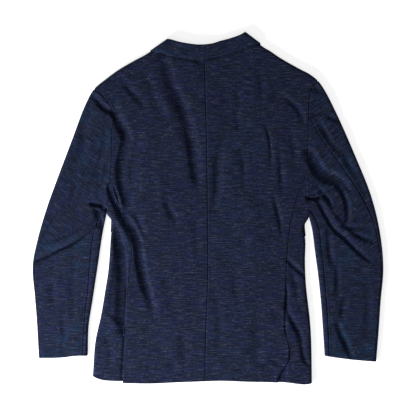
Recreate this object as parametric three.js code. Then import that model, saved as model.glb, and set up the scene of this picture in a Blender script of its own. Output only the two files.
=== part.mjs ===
import * as THREE from "three";

// A sport coat laid face down on a surface, seen from its back. Millimetres, +Z up.
// X runs to the wearer's right, Y from the hem to the collar, and z = 0 is the surface.
// The origin is under the middle of the coat's outline.

// Cloth and seams
const CLOTH = 2; // wall of the shell cloth with what backs it
const SEAM_GAP = 0.3; // clearance between two pieces at a seam
const BODY_RISE = 14; // top of the back over the surface
const SLEEVE_RISE = 12.5; // top of a sleeve over the surface
const EDGE_HEIGHT = 6; // height of a folded edge at its outermost line
const EDGE_RADIUS = 7; // how far in from a folded edge its roundness goes
const ON_EDGE = 0.2; // a point this near a folded edge's line counts as on it
const DEEPEST_FOLD = 8; // limit of the summed depth of folds that cross
const FOLD_END = 0.06; // share of a fold's length at which its taper stops at each end
const SLOPE_STEP = 0.002; // share of a line or surface over which its direction is taken
const LEVEL_SLACK = 0.3; // a point this near a level rim's height counts as on it

// Vents and underside layers
const VENT_TOP = 218; // the vent's height above the hem, along the side seam
const VENT_UNDERLAP = 18; // how far the side panel goes under the back panel
const VENT_ROWS = { below: 22, above: 16 }; // how near the vent's end its two marking rows lie
const UNDERLAP_STRIP = 0.02; // share of the side panel that goes under the back panel
const UNDERLAP_EASE = 0.045; // share of the side panel's height over which the underlap runs out
const DROP_EASE = { across: 0.12, low: 0.002, high: 0.03 }; // where the underlap's drop runs out
const NECK_SHARE = 0.6; // the shoulder's share of a back panel's upper side, the rest being its neckline
const BLUNT = 3; // how far the side panel's sharp upper corner is cut back
const VENT_DROP = 2.5; // how far the underlap lies below the back's face
const BUTTON = { radius: 10, thickness: 2.5, rim: 2, slope: 1, dish: 0.7, chamfer: 0.6, sides: 16 };
const BUTTONS_Y = [-35, -135];
const LAPEL_LIFT = CLOTH + SEAM_GAP; // the fronts lie over the turned lapels
const BUTTON_LIFT = BUTTON.thickness + SEAM_GAP; // and over the buttons
const OVERLAP_LIFT = BUTTON_LIFT + CLOTH + SEAM_GAP; // the right front lies over the left
// Where the lapel lifts a front: the zone widens from low to high over its height
const LAPEL_ZONE = { foot: -60, full: -20, height: 320, low: 50, high: 175, ease: 40 };
const OVERLAP_ZONE = { across: [42, 95], up: [20, 70] }; // where the overlap's lift runs out
const BUTTON_ZONE = [48, 90]; // where a button's lift runs out round it

// Sleeves
const FAN = 1.8; // how slowly the sleeve's rows leave the armpit as they fan out from it
const HEAD_CLEARANCE = 0.24; // how far the sleeve's head keeps from the armhole's line, which it meets aslant
const CROSSING_STEP = 0.004; // share of a row's width between the places tried for a seam's crossing
const WIDTH_PARTS = 8; // parts in which a row's width is measured
const FRONT_APEX_STOP = 5; // the stop round the underside at which the front's side seam starts

// Collar
const FALL_RISE = BODY_RISE + CLOTH + 2 * SEAM_GAP; // face of the collar's fall
const CORNER_HEIGHT = 8; // where the fall turns round the shoulder
const CORNER_RADIUS = 8.5;
const ROLL_HEIGHT = 13; // where the fall rolls over into the stand
const ROLL_RADIUS = 4;
const LEAF_LENGTH = 40; // how far the fall goes on under each shoulder
const CORNER_STOPS = [0.12, 0.45, 1]; // shares of the corner's radius at which it is divided
const ROLL_STOPS = [0.84, 0.93, 1]; // shares of the fall's height at which its roll is divided

// Colours
const NAVY = 0x262d45;
const NAVY_UNDER = 0x2a3048;
const HORN = 0x23211f;

// How finely each piece is divided
const ROWS = { ventBelow: 5, ventAbove: 8, sleeve: 24, lapel: 9, collar: 5, stand: 2 };
const COLUMNS = {
  back: 15, front: 8, cap: 4, toApex: 4, toSeam: 2, underside: 4, lapel: 3, fall: 16, leaf: 3, stand: 12,
};
const EDGE_SHARE = 0.6; // most of a narrow width that a folded edge's roundness takes
const EDGE_STOP = 0.35; // share of the roundness at which it is divided

// Guide lines of each side as [x, y]. The left side is the wearer's left.
const LEFT = {
  apex: [[-220.5, 67.5]],
  shoulder: [[-256, 267], [-230, 289], [-200, 311], [-162, 333], [-142, 343.5], [-128, 352.5], [-112, 363]],
  neck: [[-112, 363], [-90, 358], [-50, 349], [-8, 346]],
  armhole: [[-256, 267], [-238, 254], [-221, 232], [-212, 203], [-215, 175], [-217, 108], [-220.5, 67.5],
    [-224, 40], [-228, -13]],
  sideSeam: [[-216, 40], [-202, 2], [-189, -32], [-178, -65], [-171, -99], [-175, -140], [-180, -180],
    [-181, -229], [-186, -295], [-192, -389]],
  frontSeam: [[-212, 20], [-196, -30], [-180, -80], [-168, -160], [-166, -260], [-170, -389]],
  bodyEdge: [[-228, -13], [-217, -30], [-219, -72], [-224, -140], [-231, -185], [-240, -239], [-253, -300],
    [-259, -378]],
  sideHem: [[-191.5, -389], [-237, -386], [-259, -378]],
  frontSideHem: [[-170, -389], [-225, -386], [-259, -378]],
  backHem: [[-192, -393], [-130, -394], [-60, -391], [-6.5, -389]],
  frontHem: [[-170, -389], [-90, -391], [-35, -386], [2, -364], [15, -330]],
  frontEdge: [[15, -330], [18, -200], [18, -40], [6, -18], [-5, 0], [-24, 90], [-52, 220], [-77, 332],
    [-112, 363]],
  outer: [[-256, 267], [-276, 231], [-306, 152], [-340, 62], [-363, -2], [-383, -71], [-394, -130],
    [-389, -200], [-385, -250], [-380, -337]],
  inner: [[-228, -13], [-237, -58], [-247, -126], [-259, -205], [-268, -265], [-270, -332]],
  cuff: [[-380, -337], [-330, -336], [-294, -332], [-270, -332]],
  backSleeveSeam: [[-215, 175], [-252, 121], [-304, 37], [-351, -31], [-378, -80], [-390, -130],
    [-385, -200], [-381, -250], [-376, -337]],
  frontSleeveSeam: [[-238, -2], [-256, -54], [-264, -110], [-270, -190], [-277, -250], [-281, -332]],
  lapelEdge: [[-13, 3], [-44, 40], [-88, 120], [-120, 205], [-138, 290]],
  lapelRoll: [[-5, 3], [-24, 90], [-52, 220], [-77, 332]],
};
const RIGHT = {
  apex: [[225, 90]],
  shoulder: [[247, 286], [228, 301], [207, 312], [162, 337.5], [140, 352.5], [126, 360.5], [115, 368.6],
    [98, 381.5]],
  neck: [[98, 381.5], [75, 372], [40, 356], [-8, 346]],
  armhole: [[247, 286], [233, 268], [227.5, 240], [226, 205], [225, 150], [225, 90], [227, 63], [227, -21]],
  sideSeam: [[214, 58], [200, 22], [191, -9], [183, -50], [177.5, -110], [175, -165], [171.5, -241],
    [171, -300], [173, -391]],
  frontSeam: [[214, 22], [196, -30], [180, -80], [168, -160], [160, -260], [160, -391]],
  bodyEdge: [[227, -21], [216, -42], [219, -75], [218, -120], [220, -170], [229, -252], [232, -300],
    [233.5, -394]],
  sideHem: [[173.5, -391], [215, -396], [233.5, -394]],
  frontSideHem: [[160, -391], [205, -395], [233.5, -394]],
  backHem: [[173, -391.5], [100, -390], [31, -388], [-6.5, -389]],
  frontHem: [[160, -391], [90, -390], [35, -385], [-2, -364], [-15, -330]],
  frontEdge: [[-15, -330], [-18, -200], [-18, -40], [-6, -18], [5, 0], [24, 90], [50, 220], [70, 345],
    [98, 381.5]],
  outer: [[247, 286], [262, 265], [290, 210], [328, 124], [367, 26], [387, -58], [394, -135], [388, -210],
    [384, -270], [378, -345]],
  inner: [[227, -21], [234, -49], [240, -96], [247.5, -152], [254, -215], [262, -332]],
  cuff: [[378, -345], [340, -342], [295, -337], [262, -332]],
  backSleeveSeam: [[226, 205], [254, 157], [295, 101], [337, 40], [369, -22], [383, -80], [390, -135],
    [384, -210], [380, -270], [374, -345]],
  frontSleeveSeam: [[232, -6], [247, -32], [256, -90], [264, -173], [270, -263], [273, -333]],
  lapelEdge: [[13, 3], [44, 40], [88, 122], [118, 210], [136, 302]],
  lapelRoll: [[5, 3], [24, 90], [50, 220], [70, 345]],
};
const CENTRE_BACK = [[-6.5, -389], [-4.5, -277], [0, -150], [0, -60], [-3, 153], [-6, 265], [-8, 346]];
const FALL_EDGE = [[-131, 354.5], [-112, 349], [-72, 340], [-34, 332], [-9, 335], [31, 342], [72, 355.5],
  [95, 365], [118, 370.5]];
const ROLL_EDGE = [[-92, 380], [-63, 373], [-18, 367], [9, 369.5], [49.5, 381], [84, 396]];
const LEAF_ENDS = {
  left: { edge: [-123, 318], roll: [-77, 336] },
  right: { edge: [122, 330], roll: [71, 349] },
};
const STAND_INSET = [9, 7]; // how far the stand's ends keep inside the neckline's ends, left and right
const ROLL_INSET = 9; // and inside the ends of the roll

// Folds of the cloth: depth is negative for a ridge, width runs across, and path is where it goes.
const FOLDS = [
  { depth: 4.5, width: 22, path: [[-101, 328], [-85, 270], [-61, 214], [-43, 153], [-29, 63]] },
  { depth: 3, width: 20, path: [[-191, 277], [-171, 252], [-151, 227]] },
  { depth: 8, width: 24, path: [[-211, 205], [-196, 171], [-189, 142], [-200, 90], [-196, 52], [-184, -9]] },
  { depth: 3, width: 16, path: [[-164, 146], [-180, 108], [-182, 60], [-180, -9]] },
  { depth: 5, width: 20, path: [[-263, 250], [-243, 227], [-220, 211], [-211, 200]] },
  { depth: 5, width: 14, path: [[-225, 52], [-218, 18], [-200, -13]] },
  { depth: 7, width: 24, path: [[-200, -13], [-178, -47], [-162, -79], [-155, -133]] },
  { depth: 3, width: 18, path: [[-166, -16], [-153, -45], [-146, -72]] },
  { depth: 3.5, width: 22, path: [[-162, -140], [-144, -171], [-130, -234]] },
  { depth: 6, width: 34, path: [[-204, -56], [-200, -110], [-199, -170], [-203, -240]] },
  { depth: -2.5, width: 22, path: [[-225, -20], [-193, -54], [-171, -94]] },
  { depth: 3.5, width: 16, path: [[128, 180], [137, 142], [139, 88]] },
  { depth: 2.5, width: 18, path: [[160, 119], [161, 80], [164, 40]] },
  { depth: 3, width: 18, path: [[146, 18], [155, -16], [162, -54]] },
  { depth: 3, width: 18, path: [[31, 148], [18, 80], [11, 7]] },
  { depth: 2, width: 20, path: [[63, 261], [63, 202], [67, 171]] },
  { depth: 3, width: 16, path: [[169, 243], [189, 229], [207, 200]] },
  { depth: 2.5, width: 18, path: [[-97, 18], [-85, -16], [-74, -38]] },
  { depth: 3, width: 18, path: [[175, -121], [202, -144], [214, -153]] },
  { depth: 4, width: 20, path: [[173, -225], [196, -274], [209, -331], [227, -355]] },
  { depth: 7, width: 26, path: [[-236, -9], [-254, -38], [-288, -70], [-340, -97], [-385, -118]] },
  { depth: -2, width: 22, path: [[-262, -20], [-300, -62], [-350, -84]] },
  { depth: 4, width: 22, path: [[-250, 190], [-292, 125], [-325, 60]] },
  { depth: 7, width: 26, path: [[245, 18], [274, -38], [308, -72], [356, -116]] },
  { depth: -2, width: 22, path: [[262, 22], [292, -30], [345, -80]] },
  { depth: 6, width: 22, path: [[227, 108], [240, 78], [270, 63], [297, 47]] },
  { depth: 4, width: 18, path: [[247, 184], [263, 160], [286, 126]] },
  { depth: 4, width: 18, path: [[283, 52], [306, 11], [312, -30]] },
  { depth: 4, width: 18, path: [[288, -263], [304, -301], [317, -333]] },
  { depth: 3, width: 18, path: [[268, -49], [286, -150], [288, -195]] },
  { depth: 3, width: 18, path: [[306, -207], [297, -252]] },
];

const { clamp, lerp, smoothstep } = THREE.MathUtils;

// A smooth line through guide points, walked by its length: 0 at the first point and 1 at the last.
function line(points) {
  const places = points.map(([x, y]) => new THREE.Vector3(x, y, 0));
  const spline = new THREE.CatmullRomCurve3(places, false, "centripetal");
  spline.arcLengthDivisions = 300;
  const length = spline.getLength();
  const at = (t) => {
    const p = spline.getPointAt(clamp(t, 0, 1));
    return new THREE.Vector2(p.x, p.y);
  };
  const trail = Array.from({ length: 81 }, (_, i) => at(i / 80));
  return { at, length, trail };
}

// The place along a line, 0 to 1, that lies nearest a point.
function nearest(target, along) {
  let best = 0;
  for (let step = 0.05, low = 0, high = 1; step > 1e-5; step /= 8) {
    let least = Infinity;
    for (let t = low; t <= high + 1e-9; t += step) {
      const away = along(t).distanceToSquared(target);
      if (away < least) [least, best] = [away, t];
    }
    [low, high] = [Math.max(0, best - step), Math.min(1, best + step)];
  }
  return best;
}

// A stretch of a line, moved to its side by a distance that is positive to the left of its travel.
function stretch(source, from, to, aside = 0) {
  const sign = Math.sign(to - from);
  return (t) => {
    const at = lerp(from, to, t);
    const ahead = source.at(at + SLOPE_STEP * sign).sub(source.at(at - SLOPE_STEP * sign)).normalize();
    return source.at(at).add(new THREE.Vector2(-ahead.y, ahead.x).multiplyScalar(aside));
  };
}

// A patch filled in between four sides: west and east run up, south and north run across. West and east
// are kept exactly, and the ends of south and north are drawn to them.
function patch(west, east, south, north) {
  const bulge = (side) => {
    const [a, b] = [side(0), side(1)];
    return (t) => side(t).sub(a.clone().lerp(b, t));
  };
  const below = bulge(south);
  const above = bulge(north);
  return (across, up) => {
    const ruled = west(up).lerp(east(up), across);
    return ruled.add(below(across).lerp(above(across), up));
  };
}

// The distance from a point to a trail of points, and how far along the trail that place is.
function toTrail(x, y, trail) {
  let least = Infinity;
  let along = 0;
  for (let i = 1; i < trail.length; i++) {
    const a = trail[i - 1];
    const b = trail[i];
    const [dx, dy] = [b.x - a.x, b.y - a.y];
    const t = clamp(((x - a.x) * dx + (y - a.y) * dy) / (dx * dx + dy * dy), 0, 1);
    const away = (x - a.x - t * dx) ** 2 + (y - a.y - t * dy) ** 2;
    if (away < least) [least, along] = [away, (i - 1 + t) / (trail.length - 1)];
  }
  return { away: Math.sqrt(least), along };
}

// How round a folded edge is: 0 on its outermost line, 1 from its radius inwards.
const roundness = (distance, radius) => Math.sqrt(1 - (1 - clamp(distance / radius, 0, 1)) ** 2);

// The lines of each side. The shoulder and the sleeve's outer edge are one crest, split at the shoulder's
// tip.
const sides = [LEFT, RIGHT].map(({ apex: [corner], shoulder, outer, sideSeam, frontSeam, ...guides }) => {
  const made = Object.fromEntries(Object.entries(guides).map(([name, points]) => [name, line(points)]));
  const crest = line([...outer.slice(1).reverse(), ...shoulder]);
  const tip = nearest(new THREE.Vector2(...shoulder[0]), crest.at);
  const apex = nearest(new THREE.Vector2(...corner), made.armhole.at);
  const crestParts = { outer: stretch(crest, tip, 0), shoulder: stretch(crest, tip, 1) };
  return { ...made, ...crestParts, crest, apex, sideSeam, frontSeam };
});
const silhouettes = sides.flatMap((side) => [side.crest, side.inner, side.bodyEdge]);
const folds = FOLDS.map((fold) => ({ ...fold, trail: line(fold.path).trail.filter((_, i) => i % 4 === 0) }));

// How deep the folds are at a point.
function foldDepth(x, y) {
  let depth = 0;
  for (const fold of folds) {
    const { away, along } = toTrail(x, y, fold.trail);
    const across = clamp(away / (fold.width / 2), 0, 1);
    const taper = Math.sqrt(Math.sin(Math.PI * clamp(along, FOLD_END, 1 - FOLD_END)));
    depth += fold.depth * taper * 0.5 * (1 + Math.cos(Math.PI * across));
  }
  return depth > 0 ? DEEPEST_FOLD * Math.tanh(depth / DEEPEST_FOLD) : depth;
}

const edgeDistance = (x, y) => Math.min(...silhouettes.map((edge) => toTrail(x, y, edge.trail).away));

// The height of the upper layer, which rounds down to the folded edges. Where the edge is a seam, the two
// layers are split there.
function upper(p, rise, split = false) {
  const edge = EDGE_HEIGHT + (split ? SEAM_GAP / 2 : 0);
  const round = roundness(edgeDistance(p.x, p.y) - (split ? ON_EDGE : 0), EDGE_RADIUS);
  return edge + (rise - edge - foldDepth(p.x, p.y)) * round;
}

// The height of the lower layer, which rounds up to the folded edges from the height it lies at.
function lower(p, lift, split = false) {
  const edge = EDGE_HEIGHT - (split ? SEAM_GAP / 2 : 0);
  const round = roundness(edgeDistance(p.x, p.y) - (split ? ON_EDGE : 0), EDGE_RADIUS);
  return lift + (edge - lift) * (1 - round);
}

// The height at which each front lies, over the lapel, the buttons and the other front.
function frontLift(p, right) {
  const x = Math.abs(p.x);
  const { foot, full, height, low, high, ease } = LAPEL_ZONE;
  const reach = lerp(low, high, (p.y - full) / height);
  const lapel = LAPEL_LIFT * smoothstep(p.y, foot, full) * (1 - smoothstep(x, reach, reach + ease));
  if (right) {
    const { across, up } = OVERLAP_ZONE;
    return Math.max(lapel, OVERLAP_LIFT * (1 - smoothstep(p.x, ...across)) * (1 - smoothstep(p.y, ...up)));
  }
  const away = Math.min(...BUTTONS_Y.map((y) => Math.hypot(p.x, p.y - y)));
  return Math.max(lapel, BUTTON_LIFT * (1 - smoothstep(away, ...BUTTON_ZONE)));
}

// Places across a width, closer together where it starts at a folded edge.
function fromEdge(width, parts) {
  const reach = Math.min(EDGE_RADIUS, EDGE_SHARE * width);
  const rest = Array.from({ length: parts }, (_, i) => reach + ((width - reach) * (i + 1)) / parts);
  return [0, EDGE_STOP * reach, reach, ...rest].map((place) => place / width);
}

// Places across a width with a folded edge at both ends.
function betweenEdges(width, parts) {
  const reach = EDGE_RADIUS;
  const middle = Array.from({ length: parts + 1 }, (_, i) => reach + ((width - 2 * reach) * i) / parts);
  return [0, EDGE_STOP * reach, ...middle, width - EDGE_STOP * reach, width].map((place) => place / width);
}

const evenly = (parts) => Array.from({ length: parts + 1 }, (_, i) => i / parts);

// A wall of cloth from a surface of (across, up): a closed mesh of its outer face, inner face and rim.
// facing is 1 where the first column's outer face looks up and -1 where it looks down; level lists the
// heights of edge lines at which the wall is cut level.
function wall(name, surface, columnsAt, rows, { facing = 1, level = [EDGE_HEIGHT], colour = NAVY } = {}) {
  const positions = [];
  const count = columnsAt(rows[0]).length;
  const [low, high] = [columnsAt(rows[0])[0], columnsAt(rows[0]).at(-1)];
  const grid = rows.map((up) => columnsAt(up).map((across) => {
    const point = surface(across, up);
    const east = surface(Math.min(high, across + SLOPE_STEP), up);
    const west = surface(Math.max(low, across - SLOPE_STEP), up);
    const north = surface(across, Math.min(1, up + SLOPE_STEP));
    const south = surface(across, Math.max(0, up - SLOPE_STEP));
    const normal = east.sub(west).cross(north.sub(south));
    if (level.some((height) => Math.abs(point.z - height) < LEVEL_SLACK)) normal.z = 0;
    return { point, normal: normal.normalize() };
  }));
  const turn = Math.sign(grid[1][0].normal.z) === facing ? 1 : -1;
  for (const row of grid) for (const { point } of row) positions.push(point);
  for (const row of grid) for (const { point, normal } of row) {
    positions.push(point.clone().addScaledVector(normal, -CLOTH * turn));
  }
  const inner = rows.length * count;
  const at = (row, column) => row * count + column;
  const faces = [];
  const quad = (a, b, c, d) => faces.push(a, b, c, a, c, d);
  for (let r = 0; r < rows.length - 1; r++) {
    for (let c = 0; c < count - 1; c++) {
      const [a, b, d, e] = [at(r, c), at(r, c + 1), at(r + 1, c + 1), at(r + 1, c)];
      quad(a, b, d, e);
      quad(inner + a, inner + e, inner + d, inner + b);
    }
    const [a, b] = [at(r, 0), at(r + 1, 0)];
    const [c, d] = [at(r, count - 1), at(r + 1, count - 1)];
    quad(a, b, inner + b, inner + a);
    quad(d, c, inner + c, inner + d);
  }
  for (let c = 0; c < count - 1; c++) {
    const [a, b] = [at(0, c), at(0, c + 1)];
    const [d, e] = [at(rows.length - 1, c), at(rows.length - 1, c + 1)];
    quad(b, a, inner + a, inner + b);
    quad(d, e, inner + e, inner + d);
  }
  if (turn < 0) faces.reverse();
  const geometry = new THREE.BufferGeometry().setFromPoints(positions);
  geometry.setIndex(faces);
  geometry.computeVertexNormals();
  const cloth = new THREE.MeshStandardMaterial({ color: colour, roughness: 0.9, metalness: 0 });
  const mesh = new THREE.Mesh(geometry, cloth);
  mesh.name = name;
  return mesh;
}

const raise = (p, z) => new THREE.Vector3(p.x, p.y, z);

// The lines, patches and shared places of one side. hand is -1 on the wearer's left and 1 on the right.
function layout(side, hand) {
  const half = (SEAM_GAP / 2) * hand;
  const along = patch(
    stretch(side.armhole, 0, 1, HEAD_CLEARANCE * hand),
    stretch(side.cuff, 0, 1),
    side.outer,
    (s) => side.inner.at(s ** FAN),
  );
  const sleeve = (t, s) => along(s, t);
  const width = (s) => {
    const row = evenly(WIDTH_PARTS).map((t) => sleeve(t, s));
    return row.slice(1).reduce((sum, p, i) => sum + p.distanceTo(row[i]), 0);
  };
  const crossing = (seam, s) => {
    let best = 0;
    let least = Infinity;
    for (let t = CROSSING_STEP; t < 1 - CROSSING_STEP / 2; t += CROSSING_STEP) {
      const p = sleeve(t, s);
      const { away } = toTrail(p.x, p.y, seam.trail);
      if (away < least) [least, best] = [away, t];
    }
    return best;
  };
  const rows = evenly(ROWS.sleeve);
  const backAt = rows.map((s) => crossing(side.backSleeveSeam, s));
  const frontAt = rows.map((s) => crossing(side.frontSleeveSeam, s));
  const between = (list) => (s) => {
    const place = clamp(s, 0, 1) * ROWS.sleeve;
    const i = Math.min(Math.floor(place), ROWS.sleeve - 1);
    return lerp(list[i], list[i + 1], place - i);
  };
  const back = between(backAt);
  const front = between(frontAt);

  const underStops = betweenEdges(width(0), COLUMNS.underside);
  const frontApex = underStops[FRONT_APEX_STOP];
  const capStops = fromEdge(back(0) * width(0), COLUMNS.cap).map((t) => t * back(0));
  const apexShare = (side.apex - back(0)) / (front(0) - back(0));
  const underSleeveStops = [
    ...evenly(COLUMNS.toApex).map((t) => t * apexShare),
    ...evenly(COLUMNS.toSeam).slice(1).map((t) => lerp(apexShare, 1, t)),
  ];
  const innerStops = fromEdge((1 - front(0)) * width(0), 1);
  const topStops = [
    ...capStops,
    ...underSleeveStops.slice(1).map((t) => lerp(back(0), front(0), t)),
    ...innerStops.slice(0, -1).reverse().map((t) => 1 - t * (1 - front(0))),
  ];

  const sideSeam = line([side.armhole.at(side.apex).toArray(), ...side.sideSeam]);
  const frontSeam = line([side.armhole.at(frontApex).toArray(), ...side.frontSeam]);
  return {
    side, hand, half, sleeve, width, back, front, apex: side.apex, frontApex, underStops, topStops,
    underSleeveStops, sideSeam, frontSeam,
  };
}

// The places up a side seam: even rows, with the vent's end marked by two rows.
function seamRows(seam) {
  const vent = VENT_TOP / seam.length;
  const below = vent - VENT_ROWS.below / seam.length;
  const above = vent + VENT_ROWS.above / seam.length;
  return {
    vent,
    rows: [
      ...evenly(ROWS.ventBelow).map((t) => t * below),
      vent,
      ...evenly(ROWS.ventAbove).map((t) => lerp(above, 1, t)),
    ],
  };
}

// Two stretches of a boundary as one side of a patch, the second starting at the share joint.
const joined = (first, second, joint) => (t) => (
  t < joint ? first(t / joint) : second((t - joint) / (1 - joint))
);

const centreBack = line(CENTRE_BACK);

// A back panel, from its side seam and armhole to the centre seam.
function backPanel(at, name) {
  const { side, half } = at;
  const joint = at.sideSeam.length / (at.sideSeam.length + at.apex * side.armhole.length);
  const arm = at.topStops.filter((t) => t < at.apex - 1e-6).reverse();
  const seam = seamRows(at.sideSeam).rows;
  const ups = [...seam.map((t) => t * joint), ...arm.map((t) => lerp(joint, 1, 1 - t / at.apex))];
  const west = joined(stretch(at.sideSeam, 1, 0, half), stretch(side.armhole, at.apex, 0, half), joint);
  const north = joined(side.shoulder, stretch(side.neck, 0, 1), NECK_SHARE);
  const flat = patch(west, stretch(centreBack, 0, 1, -half), stretch(side.backHem, 0, 1), north);
  const surface = (across, up) => {
    const p = flat(across, up);
    return raise(p, upper(p, BODY_RISE, true));
  };
  return wall(name, surface, () => evenly(COLUMNS.back), ups, { level: [EDGE_HEIGHT + SEAM_GAP / 2] });
}

// A side panel, from the back seam over the folded edge to the front seam, with the vent's underlap.
function sidePanel(at, name) {
  const { side, half, hand } = at;
  const { rows, vent } = seamRows(at.sideSeam);
  const edge = stretch(side.bodyEdge, 1, 0);
  const scoop = (from) => stretch(side.armhole, from + BLUNT / side.armhole.length, 1, -half);
  const up = (seam) => stretch(seam, 1, BLUNT / seam.length, -half);
  const top = patch(up(at.sideSeam), edge, stretch(side.sideHem, 0, 1), scoop(at.apex));
  const under = patch(up(at.frontSeam), edge, stretch(side.frontSideHem, 0, 1), scoop(at.frontApex));
  const beyond = (stops, from) => stops.filter((t) => t > from + 1e-6).map((t) => (t - from) / (1 - from));
  const topStops = [0, UNDERLAP_STRIP, ...beyond(at.topStops, at.apex)];
  const underStops = beyond(at.underStops, at.frontApex).slice(0, -1).reverse().map((t) => 2 - t);
  const surface = (across, up) => {
    if (across > 1) {
      const p = under(2 - across, up);
      return raise(p, lower(p, 0));
    }
    const p = top(across, up);
    const beside = 1 - smoothstep(across, UNDERLAP_STRIP, DROP_EASE.across);
    const below = 1 - smoothstep(up, vent + DROP_EASE.low, vent + DROP_EASE.high);
    const rise = upper(p, BODY_RISE) - VENT_DROP * beside * below;
    const lapped = across < UNDERLAP_STRIP / 2 ? 1 - smoothstep(up, vent - UNDERLAP_EASE, vent) : 0;
    p.x -= hand * VENT_UNDERLAP * lapped;
    return raise(p, rise);
  };
  return wall(name, surface, () => [...topStops, ...underStops, 2], rows);
}

// A front panel under the back: from the side seam and armhole to its front edge and the lapel's roll.
function frontPanel(at, name) {
  const { side, half } = at;
  const right = at.hand > 0;
  const joint = at.frontSeam.length / (at.frontSeam.length + at.frontApex * side.armhole.length);
  const arm = at.underStops.filter((t) => t < at.frontApex - 1e-6).reverse();
  const seam = seamRows(at.sideSeam).rows;
  const ups = [...seam.map((t) => t * joint), ...arm.map((t) => lerp(joint, 1, 1 - t / at.frontApex))];
  const west = joined(stretch(at.frontSeam, 1, 0, half), stretch(side.armhole, at.frontApex, 0, half), joint);
  const flat = patch(west, stretch(side.frontEdge, 0, 1), stretch(side.frontHem, 0, 1), side.shoulder);
  const surface = (across, up) => {
    const p = flat(across, up);
    return raise(p, lower(p, frontLift(p, right), true));
  };
  const level = [EDGE_HEIGHT - SEAM_GAP / 2];
  return wall(name, surface, () => evenly(COLUMNS.front), ups, { facing: -1, level });
}

// A sleeve's top piece: from the back seam round the outer edge, under the arm and up to the front seam.
function topSleeve(at, name) {
  const { sleeve, width, back, front } = at;
  const columns = (s) => {
    const wide = width(s);
    const cap = fromEdge(back(s) * wide, COLUMNS.cap).reverse().map((t) => 1 - t);
    const under = betweenEdges(wide, COLUMNS.underside).slice(1).map((t) => 1 + t);
    const inner = fromEdge((1 - front(s)) * wide, 1).slice(1).map((t) => 2 + t);
    return [...cap, ...under, ...inner];
  };
  const surface = (across, s) => {
    if (across <= 1) return sleeveTop(at, back(s) * (1 - across), s);
    if (across > 2) return sleeveTop(at, lerp(1, front(s), across - 2), s);
    const p = sleeve(across - 1, s);
    return raise(p, lower(p, 0));
  };
  return wall(name, surface, columns, evenly(ROWS.sleeve));
}

// The upper face of a sleeve, whose rise runs into the body's at the armhole.
function sleeveTop(at, t, s) {
  const p = at.sleeve(t, s);
  return raise(p, upper(p, lerp(BODY_RISE, SLEEVE_RISE, smoothstep(s, 0, 0.2))));
}

// A sleeve's under piece, on the upper face between its two seams.
function underSleeve(at, name) {
  const { width, back, front } = at;
  const surface = (across, s) => {
    const gap = SEAM_GAP / width(s);
    return sleeveTop(at, lerp(back(s) + gap, front(s) - gap, across), s);
  };
  return wall(name, surface, () => at.underSleeveStops, evenly(ROWS.sleeve), { colour: NAVY_UNDER });
}

// A lapel turned back under its front, flat on the surface.
function lapel(at, name) {
  const { side } = at;
  const across = (end) => {
    const [a, b] = [side.lapelEdge.at(end), side.lapelRoll.at(end)];
    return (t) => a.clone().lerp(b, t);
  };
  const flat = patch(stretch(side.lapelEdge, 0, 1), stretch(side.lapelRoll, 0, 1), across(0), across(1));
  const surface = (t, up) => raise(flat(t, up), 0);
  return wall(name, surface, () => evenly(COLUMNS.lapel), evenly(ROWS.lapel), { facing: -1, level: [] });
}

// The collar's fall: a leaf under each shoulder, joined over the back of the neck.
function collarFall(name) {
  const edge = line(FALL_EDGE);
  const roll = line(ROLL_EDGE);
  const corners = [0, 1].map((t) => line([edge.at(t).toArray(), roll.at(t).toArray()]));
  const top = patch(...[0, 1].map((t) => (up) => corners[t].at(up)), edge.at, roll.at);
  const leaves = [LEAF_ENDS.left, LEAF_ENDS.right].map(({ edge: tip, roll: inner }, i) => patch(
    (up) => corners[i].at(up),
    (up) => new THREE.Vector2(...tip).lerp(new THREE.Vector2(...inner), up),
    (t) => edge.at(i).lerp(new THREE.Vector2(...tip), t),
    (t) => roll.at(i).lerp(new THREE.Vector2(...inner), t),
  ));
  const cornerDistance = (p) => Math.min(...corners.map((corner) => toTrail(p.x, p.y, corner.trail).away));
  const cornerRound = (p) => roundness(cornerDistance(p), CORNER_RADIUS);
  const surface = (across, up) => {
    if (across >= 0 && across <= 1) {
      const p = top(across, up);
      const rollRound = roundness(toTrail(p.x, p.y, roll.trail).away, ROLL_RADIUS);
      const face = lerp(ROLL_HEIGHT, FALL_RISE, rollRound);
      return raise(p, lerp(CORNER_HEIGHT, face, cornerRound(p)));
    }
    const p = across < 0 ? leaves[0](-across, up) : leaves[1](across - 1, up);
    return raise(p, CORNER_HEIGHT * (1 - cornerRound(p)));
  };
  const leafStops = fromEdge(LEAF_LENGTH, COLUMNS.leaf).slice(1);
  const near = CORNER_STOPS.map((share) => (share * CORNER_RADIUS) / edge.length);
  const middle = evenly(COLUMNS.fall).map((t) => lerp(near.at(-1), 1 - near.at(-1), t)).slice(1, -1);
  const columns = [
    ...leafStops.map((t) => -t).reverse(), 0, ...near, ...middle, ...near.map((t) => 1 - t).reverse(), 1,
    ...leafStops.map((t) => 1 + t),
  ];
  const rows = [...evenly(ROWS.collar).map((t) => t * ROLL_STOPS[0]), ...ROLL_STOPS.slice(1)];
  return wall(name, surface, () => columns, rows, { facing: -1, level: [CORNER_HEIGHT, ROLL_HEIGHT] });
}

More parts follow.
